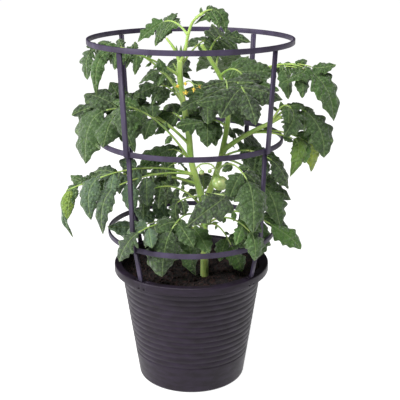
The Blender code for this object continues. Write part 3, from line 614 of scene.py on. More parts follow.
def stem_line(name, steps=3):
    """A stem's centre line in metres and its radius along it."""
    points, foot_radius, head_radius = STEMS[name]
    line = smooth_line(points, steps) * MM
    return line, np.linspace(foot_radius, head_radius, len(line)) * MM


def stem_point(name, height):
    """The point of a stem's centre line at a height."""
    line, _ = stem_line(name)
    return np.array([np.interp(height, line[:, 2], line[:, axis]) for axis in range(3)])


def hairs(line, radii, count, length, thickness, draw):
    """Spikes on a tube: three points round each root and one at the tip, tilted a little at random.

    A root lies at line + radius * outward, and the tip stands length further out.
    """
    _, across, aside = carried_frame(line)
    at = draw.random(count) * (len(line) - 1)
    low = np.minimum(at.astype(int), len(line) - 2)
    share = (at - low)[:, None]
    turn = 2 * np.pi * draw.random(count)[:, None]
    out = np.cos(turn) * across[low] + np.sin(turn) * aside[low]
    root = (1 - share) * line[low] + share * line[low + 1]
    radius = np.interp(at, np.arange(len(line)), radii)[:, None]
    foot = root + out * radius * 0.93
    lean = unit(out + 0.5 * (draw.random((count, 3)) - 0.5))
    tip = foot + lean * length * (0.6 + 0.8 * draw.random((count, 1)))
    side = unit(np.cross(lean, (0.2, 0.3, 0.9)))
    other = np.cross(lean, side)
    angle = 2 * np.pi * np.arange(3) / 3
    spread = np.cos(angle)[:, None] * side[:, None] + np.sin(angle)[:, None] * other[:, None]
    rows = np.stack([foot[:, None] + thickness * spread, tip[:, None] + 0.15 * thickness * spread],
                    axis=1)
    return [(row, 1, False, {}) for row in rows]


chance = np.random.default_rng(11)
for name, parts in SOFT_STEMS.items():
    tubes = []
    for part in parts:
        line, radii = stem_line(part, STEM_STEPS)
        swell = 1 + 0.04 * np.sin(line[:, 2] * 1000 / 19) + 0.03 * np.sin(line[:, 2] * 1000 / 7.3 + 1)
        tubes.append((round_tube(line, radii * swell, STEM_SIDES, 0.05, 5), 0, False, {}))
        length = np.linalg.norm(np.diff(line, axis=0), axis=1).sum()
        tubes += hairs(line, radii, int(length / (0.35 * MM)), 1.7 * MM, 0.09 * MM, chance)
    node = "main_stem" if "main_stem" in parts else "right_stem"
    stem = make_piece(name, tubes, [green_stem, stem_hair], [node])
    print(name, triangles(stem), "triangles")

# %% [markdown]
# A tomato leaf is compound: a stalk carries a leaflet at its end and pairs of smaller ones below it,
# with very small ones between the pairs. The table has one row for each arm of a leaf. Its numbers
# are those of the CAD model, so every leaflet starts where the solid one does.

# %% Where the leaves are
# Each arm is (stem, height on it, knee, tip, arch, pairs, side size, droop, faces), in mm and degrees.
LEAVES = {
    "leaf_top_far_left": [("left_stem", 575, (-170, -30, 660), (-190, -45, 605), 30, 3, 0.60, 20, 245)],
    "leaf_top_left_hanging": [("left_stem", 605, (-140, -80, 660), (-170, -90, 580), 12, 2, 0.40, 30, 250)],
    "leaf_upper_left": [
        ("left_stem", 475, (-155, -50, 550), (-195, -75, 455), 26, 3, 0.80, 25, 250),
        ("left_stem", 475, (-145, -25, 555), (-220, -40, 545), 22, 2, 0.75, 15, 255),
    ],
    "leaf_left_inner": [("left_stem", 440, (-110, -95, 565), (-100, -110, 485), 20, 2, 0.65, 25, 260)],
    "leaf_left_trailing": [
        ("left_stem", 395, (-230, -75, 405), (-220, -90, 315), 26, 4, 0.40, 15, 250),
        ("left_stem", 395, (-220, -80, 410), (-225, -105, 360), 26, 0, 0, 0, 290),
    ],
    "leaf_left_low": [
        ("left_stem", 415, (-165, -95, 435), (-185, -120, 360), 16, 2, 0.60, 25, 250),
        ("left_stem", 415, (-135, -100, 420), (-165, -120, 330), 12, 2, 0.60, 25, 255),
    ],
    "leaf_bottom_left": [
        ("main_stem", 300, (-85, -50, 330), (-155, -70, 335), 16, 2, 0.75, 10, 250),
        ("main_stem", 300, (-95, -140, 345), (-135, -145, 290), 22, 1, 0.70, 15, 250),
    ],
    "leaf_bottom_front": [("main_stem", 320, (-35, -120, 345), (-55, -150, 260), 24, 1, 0.60, 15, 265)],
    "leaf_bottom_middle": [("main_stem", 305, (0, -90, 330), (10, -105, 245), 14, 1, 0.75, 20, 270)],
    "leaf_bottom_right": [
        ("main_stem", 315, (75, -70, 295), (100, -75, 240), 20, 1, 0.80, 25, 280),
        ("main_stem", 315, (105, -135, 345), (115, -150, 290), 22, 1, 0.70, 15, 280),
    ],
    "leaf_bottom_far_right": [("main_stem", 335, (150, -50, 330), (215, -60, 285), 16, 2, 0.85, 15, 290)],
    "leaf_front_right_low": [("right_stem", 415, (100, -110, 435), (110, -160, 350), 22, 1, 0.55, 30, 275)],
    "leaf_front_low": [("left_stem", 370, (-25, -70, 380), (-25, -90, 340), 4, 1, 0.75, 25, 265)],
    "leaf_front_middle_low": [("right_stem", 370, (60, -110, 405), (-15, -130, 355), 2, 1, 0.50, 15, 260)],
    "leaf_front_right_high": [
        ("right_stem", 580, (95, -95, 590), (115, -130, 540), 16, 3, 1.15, 12, 275),
        ("right_stem", 580, (65, -85, 590), (10, -130, 580), 16, 2, 0.80, 10, 265),
    ],
    "leaf_right_high": [("right_stem", 600, (95, -20, 610), (160, -50, 590), 12, 3, 0.85, 10, 280)],
    "leaf_top_far_right": [
        ("right_stem", 560, (210, -30, 620), (270, -40, 525), 26, 1, 0.30, 10, 285),
        ("right_stem", 560, (205, -30, 625), (165, -55, 605), 26, 0, 0, 0, 270),
        ("right_stem", 560, (220, -25, 625), (265, -30, 630), 26, 0, 0, 0, 285),
    ],
    "leaf_side_end": [
        ("side_stem", 520, (215, -20, 540), (255, -35, 455), 16, 1, 0.40, 55, 285),
        ("side_stem", 520, (185, -35, 550), (170, -50, 500), 16, 1, 0.60, 20, 280),
    ],
    "leaf_right_low": [
        ("right_stem", 440, (150, -50, 455), (185, -55, 400), 18, 3, 0.80, 30, 285),
        ("right_stem", 440, (140, -35, 400), (165, -35, 320), 14, 0, 0, 0, 250),
    ],
    "leaf_side_under": [
        ("side_stem", 495, (220, -10, 480), (230, -10, 420), 12, 1, 0.75, 25, 280),
        ("side_stem", 495, (190, -20, 490), (185, -40, 420), 5, 0, 0, 0, 265),
    ],
    "leaf_crown_left": [("right_shoot", 680, (-50, 40, 700), (-100, 30, 665), 10, 3, 0.70, 25, 250)],
    "leaf_crown_tip": [
        ("right_shoot", 710, (30, 0, 720), (0, 0, 705), 3, 1, 0.60, 25, 250),
        ("right_shoot", 710, (40, 0, 725), (65, -10, 685), 4, 1, 0.70, 35, 280),
    ],
    "leaf_crown_back": [("right_stem", 640, (60, 70, 670), (115, 70, 660), 8, 2, 0.80, 15, 280)],
    "leaf_crown_middle": [("left_stem", 620, (30, 60, 665), (40, 75, 640), 8, 2, 1.40, 15, 270)],
    "leaf_behind_left_stem": [("left_stem", 585, (-35, 50, 620), (0, 55, 590), 10, 2, 1.00, 20, 260)],
    "leaf_left_high": [
        ("left_stem", 550, (-55, -50, 620), (-95, -60, 600), 10, 1, 0.60, 20, 260),
        ("left_stem", 550, (-55, -20, 590), (-105, -40, 570), 10, 2, 0.75, 20, 260),
    ],
    "leaf_left_middle": [("left_stem", 500, (-35, 0, 535), (-80, -20, 515), 8, 2, 0.95, 20, 260)],
    "leaf_centre_high": [("right_stem", 550, (25, 0, 565), (-20, -35, 550), 8, 2, 0.95, 15, 265)],
    "leaf_centre_middle": [("right_stem", 500, (25, -10, 520), (-30, -30, 510), 8, 2, 0.95, 15, 265)],
    "leaf_left_back_low": [
        ("left_stem", 440, (-45, 30, 455), (-105, 20, 415), 10, 2, 0.65, 30, 260),
        ("left_stem", 440, (-60, 20, 405), (-100, 10, 370), 14, 2, 0.90, 20, 255),
    ],
    "leaf_front_left_low": [("main_stem", 345, (-70, -65, 405), (-90, -80, 350), 20, 3, 0.75, 30, 260)],
    "leaf_back_right_middle": [("right_stem", 510, (80, 90, 530), (120, 110, 500), 14, 2, 0.90, 15, 290)],
    "leaf_back_left_middle": [("left_stem", 520, (-20, 90, 530), (-10, 130, 500), 14, 2, 0.90, 15, 100)],
    "leaf_back_right_low": [("right_stem", 430, (110, 80, 470), (150, 100, 430), 16, 2, 0.90, 15, 330)],
    "leaf_back_left_low": [("left_stem", 380, (-60, 90, 440), (-90, 120, 400), 16, 2, 0.90, 15, 120)],
    "leaf_back_bottom": [("main_stem", 300, (24, 80, 390), (30, 130, 350), 10, 2, 0.90, 15, 90)],
    "leaf_back_high": [("right_stem", 615, (60, 110, 620), (80, 160, 575), 16, 2, 0.90, 15, 80)],
}

# %% Where the leaflets are
FACE_TILT = 50  # degrees that the upper sides tilt from the sky towards where they face
SIDE_SIZES = (1.0, 0.85, 0.62, 0.45)
SOLID_PAIRS = 2  # the CAD model has this many pairs, and smaller ones are added here
FIRST_PAIR_AT = 0.86
PAIRS_SPREAD = 0.46
SEEN = 2 * MM  # a leaflet whose tip isn't this near to the CAD leaf was left out there
# The CAD model turns a leaflet that would touch a neighbour by one of these (sideways, upwards)
TURNS = [(0, 0), (0, 14), (0, -14), (14, 0), (-14, 0), (14, 14), (-14, 14), (14, -14), (-14, -14),
         (0, 28), (0, -28), (28, 0), (-28, 0), (28, 20), (-28, 20), (28, -20), (-28, -20),
         (0, 42), (0, -42), (42, 0), (-42, 0), (42, 30), (-42, 30), (42, -30), (-42, -30),
         (0, 60), (0, -60), (60, 0), (-60, 0)]


def wobble(*numbers):
    """A number from 0 to 1 that looks random: the broken part of 43758.5453 sin(weighted sum)."""
    total = sum((place + 1) * 12.9898 * number for place, number in enumerate(numbers))
    value = np.sin(total + 4.1) * 43758.5453
    return float(value - np.floor(value))


def turn_about(axis, degrees):
    """Rotation matrix about a unit axis: 1 + sin(a) K + (1 - cos(a)) K^2, K its cross product."""
    x, y, z = axis
    cross = np.array([[0, -z, y], [z, 0, -x], [-y, x, 0]])
    angle = np.radians(degrees)
    return np.eye(3) + np.sin(angle) * cross + (1 - np.cos(angle)) * cross @ cross


def stalk_of(arm):
    """Start, middle control point and knee of an arm's stalk."""
    start, knee = stem_point(arm[0], arm[1] * MM), np.array(arm[2]) * MM
    return start, (start + knee) / 2 + 2 * arm[4] * MM * np.array([0, 0, 1]), knee


def facing_of(arm):
    """The direction that an arm's upper sides face."""
    tilt = np.radians(FACE_TILT)
    return np.sin(tilt) * heading(arm[8]) + (0, 0, np.cos(tilt))


def stalk_place(arm, share):
    """The point at a share of an arm's stalk, with the directions ahead and to the side there."""
    start, middle, knee = stalk_of(arm)
    ahead = unit((1 - share) * (middle - start) + share * (knee - middle))
    return arc_line(start, middle, knee, [share])[0], ahead, unit(np.cross(ahead, facing_of(arm)))


def end_length(arm):
    """Length of an arm's end leaflet."""
    return np.linalg.norm(np.array(arm[3]) * MM - np.array(arm[2]) * MM)


def leaflets_of(arm, leaf_number, arm_number, pairs):
    """(base, first direction, direction to the tip, length, facing) of each leaflet on an arm."""
    _, middle, knee = stalk_of(arm)
    tip, side_size, droop, facing = np.array(arm[3]) * MM, arm[6], arm[7], facing_of(arm)
    length = end_length(arm)
    found = [(knee, unit(knee - middle), unit(tip - knee), length, facing)]
    for pair in range(pairs):
        base, ahead, across = stalk_place(arm, FIRST_PAIR_AT - PAIRS_SPREAD * pair / arm[5])
        for side in (-1, 1):
            key = (leaf_number, arm_number, 2 * pair + (side + 1) / 2)
            spread = np.radians(56 + 9 * pair + 16 * (wobble(*key) - 0.5))
            size = length * side_size * SIDE_SIZES[pair] * (0.9 + 0.25 * wobble(*key, 3))
            out = np.cos(spread) * ahead + side * np.sin(spread) * across
            fall = np.radians(droop + 26 * (wobble(*key, 7) - 0.4))
            found.append((base, out, unit(out * np.cos(fall) - np.array([0, 0, np.sin(fall)])), size,
                          facing))
    return found


def turn_leaflet(leaflet, sideways, upwards):
    """The leaflet turned on its stalk by two angles in degrees."""
    base, out, to_tip, length, facing = leaflet
    lift_axis = unit(np.cross(out, facing))
    turn = turn_about(facing, sideways) @ turn_about(lift_axis, upwards)
    return base, turn @ out, turn @ to_tip, length, facing


def as_built(leaflet, corners):
    """The leaflet as the CAD model turned it, or None: its tip lies by a corner of the CAD leaf."""
    turned_ones = [turn_leaflet(leaflet, *turn) for turn in TURNS]
    tips = np.array([base + to_tip * length for base, _, to_tip, length, _ in turned_ones])
    nearest = np.linalg.norm(tips[:, None] - corners[None], axis=-1).min(axis=1)
    best = int(nearest.argmin())
    return turned_ones[best] if nearest[best] < SEEN else None


def cad_corners(name):
    """A CAD node's corner points."""
    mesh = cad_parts[name].data
    points = np.zeros(3 * len(mesh.vertices))
    mesh.vertices.foreach_get("co", points)
    return points.reshape(-1, 3)


plan = {}
for number, (name, arms) in enumerate(LEAVES.items()):
    corners = cad_corners(name)
    plan[name] = []
    for arm_number, arm in enumerate(arms):
        nominal = leaflets_of(arm, number, arm_number, arm[5])
        solid = 1 + 2 * min(arm[5], SOLID_PAIRS)
        built = [as_built(leaflet, corners) for leaflet in nominal[:solid]] + nominal[solid:]
        plan[name].append(built)
made = [leaflet for arms in plan.values() for arm in arms for leaflet in arm]
in_cad = sum(1 + 2 * min(arm[5], SOLID_PAIRS) for arms in LEAVES.values() for arm in arms)
print("CAD leaflets found:", in_cad - sum(leaflet is None for leaflet in made), "of", in_cad,
      "and smaller ones added:", len(made) - in_cad)

# %% [markdown]
# A leaflet is lobed and toothed, and its teeth point to the tip. Between the side veins the blade
# bulges up, the edges hang or curl, and no two are alike. The grid that makes it has rows that run
# along the side veins: from the midrib outwards and forwards. So a row's length sets the outline,
# and a wave of the row number makes lobes, teeth and the bulges between veins all in step. An upper
# and a lower sheet close into one thin shell, 0.35 mm thick, with a raised midrib below.

# %% One leaflet
VEINS = 5  # side veins on each side of the midrib
STALK_SHARE = 0.07  # the part of a leaflet's length that is bare stalk


def leaflet_shell(leaflet, key, lobing, tone, rows_per_vein=8, columns=9, slimness=1.0, bend=None):
    """A closed leaflet.

    Row s runs from the midrib point at share s of the length. Across it t goes from -1 to 1:
    point = spine + across * t * width(s) + ahead * forward(s) * |t|^1.3 * width(s) + up * height(s, t).
    width(s) is a lopsided sine of s, times (1 - lobes), and height adds fold, curl, ruffle and bulge.
    """
    base, out, to_tip, length, facing = leaflet
    draw = np.random.default_rng(key)
    s = np.linspace(0, 1, rows_per_vein * VEINS + 1)[:, None]
    place = np.clip((s - STALK_SHARE) / (1 - STALK_SHARE), 0, 1)

    # The spine bends from its first direction to the tip, then curls down a little at the end
    tip = base + to_tip * length
    middle = base + out * 0.4 * length if bend is None else bend
    spine = arc_line(base, middle, tip, s[:, 0])
    ahead = unit((1 - s) * (middle - base) + s * (tip - middle))
    across = unit(np.cross(ahead, facing))
    up = np.cross(across, ahead)
    curl_tip = draw.uniform(0.0, 0.16) * length
    spine = spine - up * curl_tip * np.clip(s - 0.55, 0, 1) ** 2 / 0.45**2
    twist = np.radians(draw.uniform(-38, 38)) * s**1.5 * (bend is None)
    across, up = (np.cos(twist) * across + np.sin(twist) * up,
                  np.cos(twist) * up - np.sin(twist) * across)

    # The outline
    vein = s * VEINS
    plump = draw.uniform(0.27, 0.34) * (1 + 0.15 * lobing) * slimness
    oval = np.sin(np.pi * place**0.62) ** 0.80 * (1 - 0.25 * place**3)
    deep = draw.uniform(0.5, 1.4, (VEINS + 1, 2))
    numbers = np.arange(VEINS + 1)
    each = np.stack([np.interp(s[:, 0] * VEINS, numbers, deep[:, 0]),
                     np.interp(s[:, 0] * VEINS, numbers, deep[:, 1])])
    depth = lobing * np.clip(1.1 - place, 0, 1) ** 1.4 + 0.05
    t = np.concatenate([np.linspace(1, -1, columns), np.linspace(-1, 1, columns)])[None, :]
    t = np.sign(t) * np.abs(t) ** 1.5
    under = np.repeat([[1.0, 0.0]], columns, axis=1)
    side = np.where(t < 0, -1.0, 1.0)
    shift = draw.uniform(-0.12, 0.12) * side
    notch = (0.5 + 0.5 * np.cos(2 * np.pi * (vein + shift))) ** 1.8
    teeth = 0.5 - 0.5 * np.cos(4 * np.pi * (vein + shift))
    depth = np.clip(depth * np.where(t < 0, each[0][:, None], each[1][:, None]), 0, 0.8)
    lobes = (1 - depth * notch) * (1 - 0.05 * teeth)
    lopsided = 1 + draw.uniform(-0.10, 0.10) * side
    width = np.maximum(plump * length * oval * lobes * lopsided, 0.55 * MM * (1 - 0.7 * s))
    edge = np.abs(t)

    # Its height above the flat
    fold = draw.uniform(-0.10, 0.60)
    curl = draw.uniform(-0.05, 0.55)
    height = -fold * width * edge**1.4 - curl * width * np.clip(edge - 0.55, 0, 1) ** 2 / 0.45
    phase = draw.uniform(0, 2 * np.pi, 2)
    wave = np.where(t < 0, np.sin(np.pi * vein + phase[0]), np.sin(np.pi * vein + phase[1]))
    height = height + draw.uniform(0.02, 0.05) * length * wave * edge**2 * np.sin(np.pi * place) ** 0.5
    from_vein = np.abs((vein - 0.5) - np.round(vein - 0.5))
    bulge = (1 - np.exp(-((from_vein / 0.16) ** 2))) * (4 * edge * (1 - edge) + 0.15) ** 0.7
    height = height + 0.022 * length * bulge * np.sin(np.pi * place) ** 0.5 * draw.uniform(0.6, 1.3)
    thick = 0.35 * MM + 0.75 * MM * np.clip(1 - s / (1.6 * STALK_SHARE), 0, 1)
    thick = thick * (1 - 0.6 * edge**3)
    midrib = 0.8 * MM * np.exp(-((edge * width / (0.9 * MM)) ** 2)) * (1 - place)
    height = height - under * (thick + midrib)

    forward = (0.12 + 0.7 * place) * width * edge**1.3
    grid = (spine[:, None] + across[:, None] * (t * width)[..., None]
            + ahead[:, None] * forward[..., None] + up[:, None] * height[..., None])
    full = np.broadcast_to(t, width.shape)
    blade = np.stack([full, vein + 0 * full, under + 0 * full], axis=-1)
    growth = np.stack([tone + 0 * full, edge * width * 1000, (1 - edge) * width * 1000], axis=-1)
    return grid, 0, False, {"blade": blade, "growth": growth}


trial = leaflet_shell(([0, 0, 0], np.array([0, 1.0, 0]), np.array([0, 1.0, 0]), 0.09,
                       np.array([0, 0, 1.0])), (1, 2, 3), 0.4, 0.5)
print("a leaflet's grid:", trial[0].shape)

# %% [markdown]
# A tomato leaf is thin, so some light comes through it, and it is matt, with very short hairs that
# turn it grey-green where the light grazes it. The upper side is a deep green, the veins are pale and
# yellowish, the edge is a thin light line, and the underside is paler. Young leaves are yellower.
# Each point of a leaflet carries its place on the blade, so the veins follow its shape.

# %% Leaf material
leaf_skin, tree, shader = new_material("leaf_thin_downy_blade", "#3f6236", 0.42, Sheen_Weight=0.3,
                                       Sheen_Roughness=0.45, Specular_IOR_Level=0.42)
blade = add(tree, "Attribute", out="Vector", attribute_name="blade")
growth = add(tree, "Attribute", out="Vector", attribute_name="growth")
split = add(tree, "SeparateXYZ", {"Vector": blade}, out="X").node
across_share, vein_place, underside = split.outputs
split = add(tree, "SeparateXYZ", {"Vector": growth}, out="X").node
tone, from_midrib, from_edge = split.outputs
place = add(tree, "TexCoord", out="Object")

# Green: old to young, mottled by patches of about 12 mm. Below zero the tone is a grey, downy green
# and above one it's the yellow-green of a new leaf.
mottle = add(tree, "TexNoise", {"Vector": place, "Scale": 1000 / 12, "Detail": 3.0}, out="Fac")
age = add(tree, "Math", {0: mottle, 1: 0.35, 2: tone}, operation="MULTIPLY_ADD")
age = add(tree, "MapRange", {"Value": age, "From Min": 0.15, "From Max": 1.2})
green = add(tree, "Mix", {MIX_FACTOR: age, MIX_FIRST: "#132315", MIX_SECOND: "#426e1c"}, data_type="RGBA")
pale = add(tree, "MapRange", {"Value": tone, "From Min": -0.1, "From Max": -0.6})
green = add(tree, "Mix", {MIX_FACTOR: pale, MIX_FIRST: green, MIX_SECOND: "#5f7a62"}, data_type="RGBA")
fresh = add(tree, "MapRange", {"Value": tone, "From Min": 0.9, "From Max": 1.6})
green = add(tree, "Mix", {MIX_FACTOR: fresh, MIX_FIRST: green, MIX_SECOND: "#a3b944"}, data_type="RGBA")

# The blade is quilted: it puckers up between the smallest veins every 6 mm, and the colour of each pucker is
# mixed lighter, a painted highlight that leaves painted shade in the creases between them
quilt = add(tree, "TexVoronoi", {"Vector": place, "Scale": 1000 / 6.5}, out="Distance", feature="F1")
quilt = add(tree, "MapRange", {"Value": quilt, "From Min": 0.05, "From Max": 0.65, "To Min": 1.0,
            "To Max": 0.0})
pucker_painted_highlight = add(tree, "Math", {0: quilt, 1: 0.55}, operation="MULTIPLY")
green = add(tree, "Mix", {MIX_FACTOR: pucker_painted_highlight, MIX_FIRST: green, MIX_SECOND: "#6d8f55"}, data_type="RGBA")

# Veins: the midrib, and side veins where the vein number passes a half
midrib = add(tree, "MapRange", {"Value": from_midrib, "From Min": 0.4, "From Max": 1.2, "To Min": 0.6,
             "To Max": 0.0})
beside = add(tree, "Math", {0: vein_place, 1: 1.0}, operation="PINGPONG")
beside = add(tree, "Math", {0: beside, 1: 0.5}, operation="SUBTRACT")
beside = add(tree, "Math", {0: beside}, operation="ABSOLUTE")
side_vein = add(tree, "MapRange", {"Value": beside, "From Min": 0.02, "From Max": 0.09, "To Min": 0.18,
                "To Max": 0.0})
veins = add(tree, "Math", {0: midrib, 1: side_vein}, operation="MAXIMUM")
net = add(tree, "TexVoronoi", {"Vector": place, "Scale": 1000 / 3.2}, out="Distance",
          feature="DISTANCE_TO_EDGE")
net = add(tree, "MapRange", {"Value": net, "From Min": 0.0, "From Max": 0.10, "To Min": 0.20,
          "To Max": 0.0})
veins = add(tree, "Math", {0: veins, 1: net}, operation="MAXIMUM")
veined = add(tree, "Mix", {MIX_FACTOR: veins, MIX_FIRST: green, MIX_SECOND: "#8ba45f"}, data_type="RGBA")
edge_line = add(tree, "MapRange", {"Value": from_edge, "From Min": 0.2, "From Max": 1.1, "To Min": 0.3,
                "To Max": 0.0})
edged = add(tree, "Mix", {MIX_FACTOR: edge_line, MIX_FIRST: veined, MIX_SECOND: "#86a85a"},
            data_type="RGBA")
paler = add(tree, "Mix", {MIX_FACTOR: 0.55, MIX_FIRST: edged, MIX_SECOND: "#88a465"}, data_type="RGBA")
leaf_colour = add(tree, "Mix", {MIX_FACTOR: underside, MIX_FIRST: edged, MIX_SECOND: paler},
                  data_type="RGBA")
link(tree, shader, Base_Color=leaf_colour)

# Relief: veins sink into the upper side, and the quilting and fine puckers stand up
pucker = add(tree, "TexNoise", {"Vector": place, "Scale": 1000 / 2.5, "Detail": 2.0}, out="Fac")
pucker = add(tree, "Math", {0: pucker, 1: 0.3, 2: quilt}, operation="MULTIPLY_ADD")
relief = add(tree, "Math", {0: veins, 1: -0.6, 2: pucker}, operation="MULTIPLY_ADD")
normal = add(tree, "Bump", {"Height": relief, "Strength": 1.0, "Distance": 0.003})
link(tree, shader, Normal=normal)

# Light through the blade is yellow-green
glow = add(tree, "Mix", {MIX_FACTOR: 0.6, MIX_FIRST: leaf_colour, MIX_SECOND: "#8fb82e"},
           data_type="RGBA")
through = add(tree, "BsdfTranslucent", {"Color": glow})
mixed = add(tree, "MixShader", {"Fac": 0.16, 1: shader.outputs[0], 2: through})
tree.links.new(mixed, tree.nodes["Material Output"].inputs["Surface"])
print("leaf material has", len(tree.nodes), "nodes")

# %% [markdown]
# Each compound leaf is one piece: its stalks, its leaflets, and the very small leaflets that grow
# between the pairs. A stalk is thick where it joins the stem, grooved, and hairy like the stem.

# %% The leaves
STALK_RADII = (2.4 * MM, 1.1 * MM)
STALK_ROWS, STALK_SIDES = 22, 8
STALK_FLARE = 1.3 * MM  # added to the radius where the stalk joins the stem
LARGE_LEAFLET = 45 * MM  # longer ones get a finer grid
FINE_GRID, PLAIN_GRID, SMALL_GRID = (8, 9), (6, 7), (3, 5)  # rows for each vein, columns
# How young a leaf is, from 0 to 1, for leaves that don't take a random tone. A downy grey
# leaf is below 0 and a very new one is above 1.
TONES = {"leaf_bottom_far_right": 0.75, "leaf_bottom_right": 0.6, "leaf_left_trailing": 0.35,
         "leaf_crown_tip": 0.55, "leaf_crown_left": 0.45, "leaf_bottom_left": -0.35,
         "leaf_left_low": -0.3, "leaf_front_low": 0.0, "leaf_front_middle_low": 0.0,
         "leaf_side_under": 0.9, "leaf_right_low": 0.25, "leaf_front_left_low": 0.1}
# End leaflets that differ, by (leaf, arm): their width as a share of the usual one, then their tone
SLIM_ARMS = {("leaf_left_trailing", 0): 0.24, ("leaf_left_trailing", 1): 0.85,
             ("leaf_left_low", 0): 0.9, ("leaf_left_low", 1): 0.62, ("leaf_upper_left", 0): 1.2,
             ("leaf_top_left_hanging", 0): 0.6, ("leaf_top_far_left", 0): 1.25,
             ("leaf_crown_tip", 0): 0.7, ("leaf_side_under", 1): 0.8,
             ("leaf_top_far_right", 0): 0.9, ("leaf_bottom_far_right", 0): 0.85,
             ("leaf_side_end", 1): 1.3, ("leaf_bottom_front", 0): 1.15}
NEW_ARMS = {("leaf_left_trailing", 0): -0.5, ("leaf_left_trailing", 1): 1.25,
            ("leaf_side_under", 0): 1.6}
# End leaflets that hang in a curve: how far their middle is pushed to the left, as a share of length
CURVED_ARMS = {("leaf_left_trailing", 0): 0.25, ("leaf_left_trailing", 1): 0.1}

# Fuller leaves: how many leaflets are added along each arm, and their length as a share of the end one
FULLER = {"leaf_top_far_left": (12, 0.6), "leaf_crown_left": (5, 0.7), "leaf_crown_tip": (2, 0.45),
          "leaf_top_left_hanging": (3, 0.45), "leaf_behind_left_stem": (3, 0.8),
          "leaf_top_far_right": (4, 0.5), "leaf_side_end": (4, 0.4), "leaf_side_under": (1, 0.5),
          "leaf_right_low": (3, 0.7), "leaf_left_trailing": (7, 0.45), "leaf_left_low": (2, 0.45),
          "leaf_left_middle": (2, 0.7), "leaf_right_high": (3, 0.5)}
FULLER_FROM = 0.55  # share of the stalk at which the added leaflets begin
HANG = 0.9  # how steeply an added leaflet falls, against 1 for 45 degrees

# Young leaves stand in a ring round the growing tip
TIP_BUDS = 5
TIP_BUD_LENGTH = 28 * MM
TIP_BUD_LEAN = 20.0  # degrees from upright


def added_leaflets(arm, count, size, draw):
    """Leaflets spread evenly along the outer stalk, left and right in turn, each falling outward."""
    length = size * end_length(arm)
    found = []
    for k in range(count):
        share = FULLER_FROM + (1 - FULLER_FROM) * (k + 0.5) / count
        base, ahead, across = stalk_place(arm, share)
        out = unit(0.5 * ahead + across * (1 if k % 2 else -1))
        fall = unit(out - np.array([0, 0, HANG * draw.uniform(0.4, 1.4)]))
        found.append((base, out, fall, length * draw.uniform(0.75, 1.2), facing_of(arm)))
    return found


def tip_buds(top):
    """Young leaflets in a ring at the growing tip: (base, first direction, direction, length, facing)."""
    lean = np.radians(TIP_BUD_LEAN)
    found = []
    for k in range(TIP_BUDS):
        side = heading(360 * k / TIP_BUDS)
        ahead = np.sin(lean) * side + (0, 0, np.cos(lean))
        found.append((top, ahead, ahead, TIP_BUD_LENGTH, side))
    return found


def tiny_leaflets(arm, key, draw):
    """Small leaflets on the stalk between the pairs: (leaflet, key) with random place and side."""
    found = []
    for k in range(2 * arm[5] + 1 if arm[5] else 0):
        share = FIRST_PAIR_AT - PAIRS_SPREAD * (k / 2 + draw.uniform(0.15, 0.35)) / arm[5]
        base, ahead, across = stalk_place(arm, share)
        spread = np.radians(draw.uniform(50, 85))
        out = np.cos(spread) * ahead + np.sin(spread) * across * (1 if k % 2 else -1)
        fall = unit(out - np.array([0, 0, draw.uniform(-0.1, 0.6)]))
        size = end_length(arm) * draw.uniform(0.14, 0.28)
        found.append(((base, out, fall, size, facing_of(arm)), key + (90 + k,)))
    return found


total = 0
for number, (name, arms) in enumerate(LEAVES.items()):
    draw = np.random.default_rng(200 + number)
    tone = TONES.get(name, draw.uniform(0.05, 0.45))
    tubes = []
    for arm_number, arm in enumerate(arms):
        line = arc_line(*stalk_of(arm), np.linspace(0, 1, STALK_ROWS))
        share = np.linspace(0, 1, STALK_ROWS)
        radii = STALK_RADII[0] + share * (STALK_RADII[1] - STALK_RADII[0])
        radii = radii + STALK_FLARE * np.exp(-share * 14)
        tubes.append((round_tube(line, radii, STALK_SIDES, 0.08, 3), 1, False, {}))
        stretch = np.linalg.norm(np.diff(line, axis=0), axis=1).sum()
        spikes = hairs(line, radii, int(stretch / (0.9 * MM)), 1.3 * MM, 0.08 * MM, draw)
        tubes += [(points, 2, loop, data) for points, _, loop, data in spikes]
        for place_number, leaflet in enumerate(plan[name][arm_number]):
            if leaflet is None:
                continue
            key = (number, arm_number, place_number)
            grid = FINE_GRID if leaflet[3] > LARGE_LEAFLET else PLAIN_GRID
            lobing = draw.uniform(0.25, 0.55) if place_number == 0 else draw.uniform(0.1, 0.35)
            end_of = (name, arm_number) if place_number == 0 else None
            shade = NEW_ARMS.get(end_of, tone + draw.uniform(-0.2, 0.2))
            slim = SLIM_ARMS.get(end_of, 1.0)
            bend = None
            if end_of in CURVED_ARMS:
                leftward = np.array([-CURVED_ARMS[end_of] * leaflet[3], 0.0, 0.0])
                bend = leaflet[0] + 0.5 * leaflet[2] * leaflet[3] + leftward
            lobing = lobing * slim if bend is None else 0.0
            tubes.append(leaflet_shell(leaflet, key, lobing, shade, *grid, slim, bend))
        for leaflet, key in tiny_leaflets(arm, (number, arm_number), draw):
            tubes.append(leaflet_shell(leaflet, key, 0.15, tone + 0.12, *SMALL_GRID))
        if name in FULLER:
            for k, leaflet in enumerate(added_leaflets(arm, *FULLER[name], draw)):
                halfway = leaflet[0] + (0.45 * leaflet[2] + 0.15 * leaflet[4]) * leaflet[3]
                key = (number, arm_number, 50 + k)
                tubes.append(leaflet_shell(leaflet, key, 0.2, tone, 8, 7, 0.8, halfway))
    if name == "leaf_crown_middle":
        for k, leaflet in enumerate(tip_buds(np.array(STEMS["left_stem"][0][-1]) * MM)):
            tubes.append(leaflet_shell(leaflet, (number, 80 + k), 0.1, 1.0, *PLAIN_GRID, 0.4))
    leaf = make_piece(name + "_blades", tubes, [leaf_skin, green_stem, stem_hair], [name])
    total += triangles(leaf)
    print(f"{name}: {triangles(leaf)} triangles")
print("all leaves:", total, "triangles")

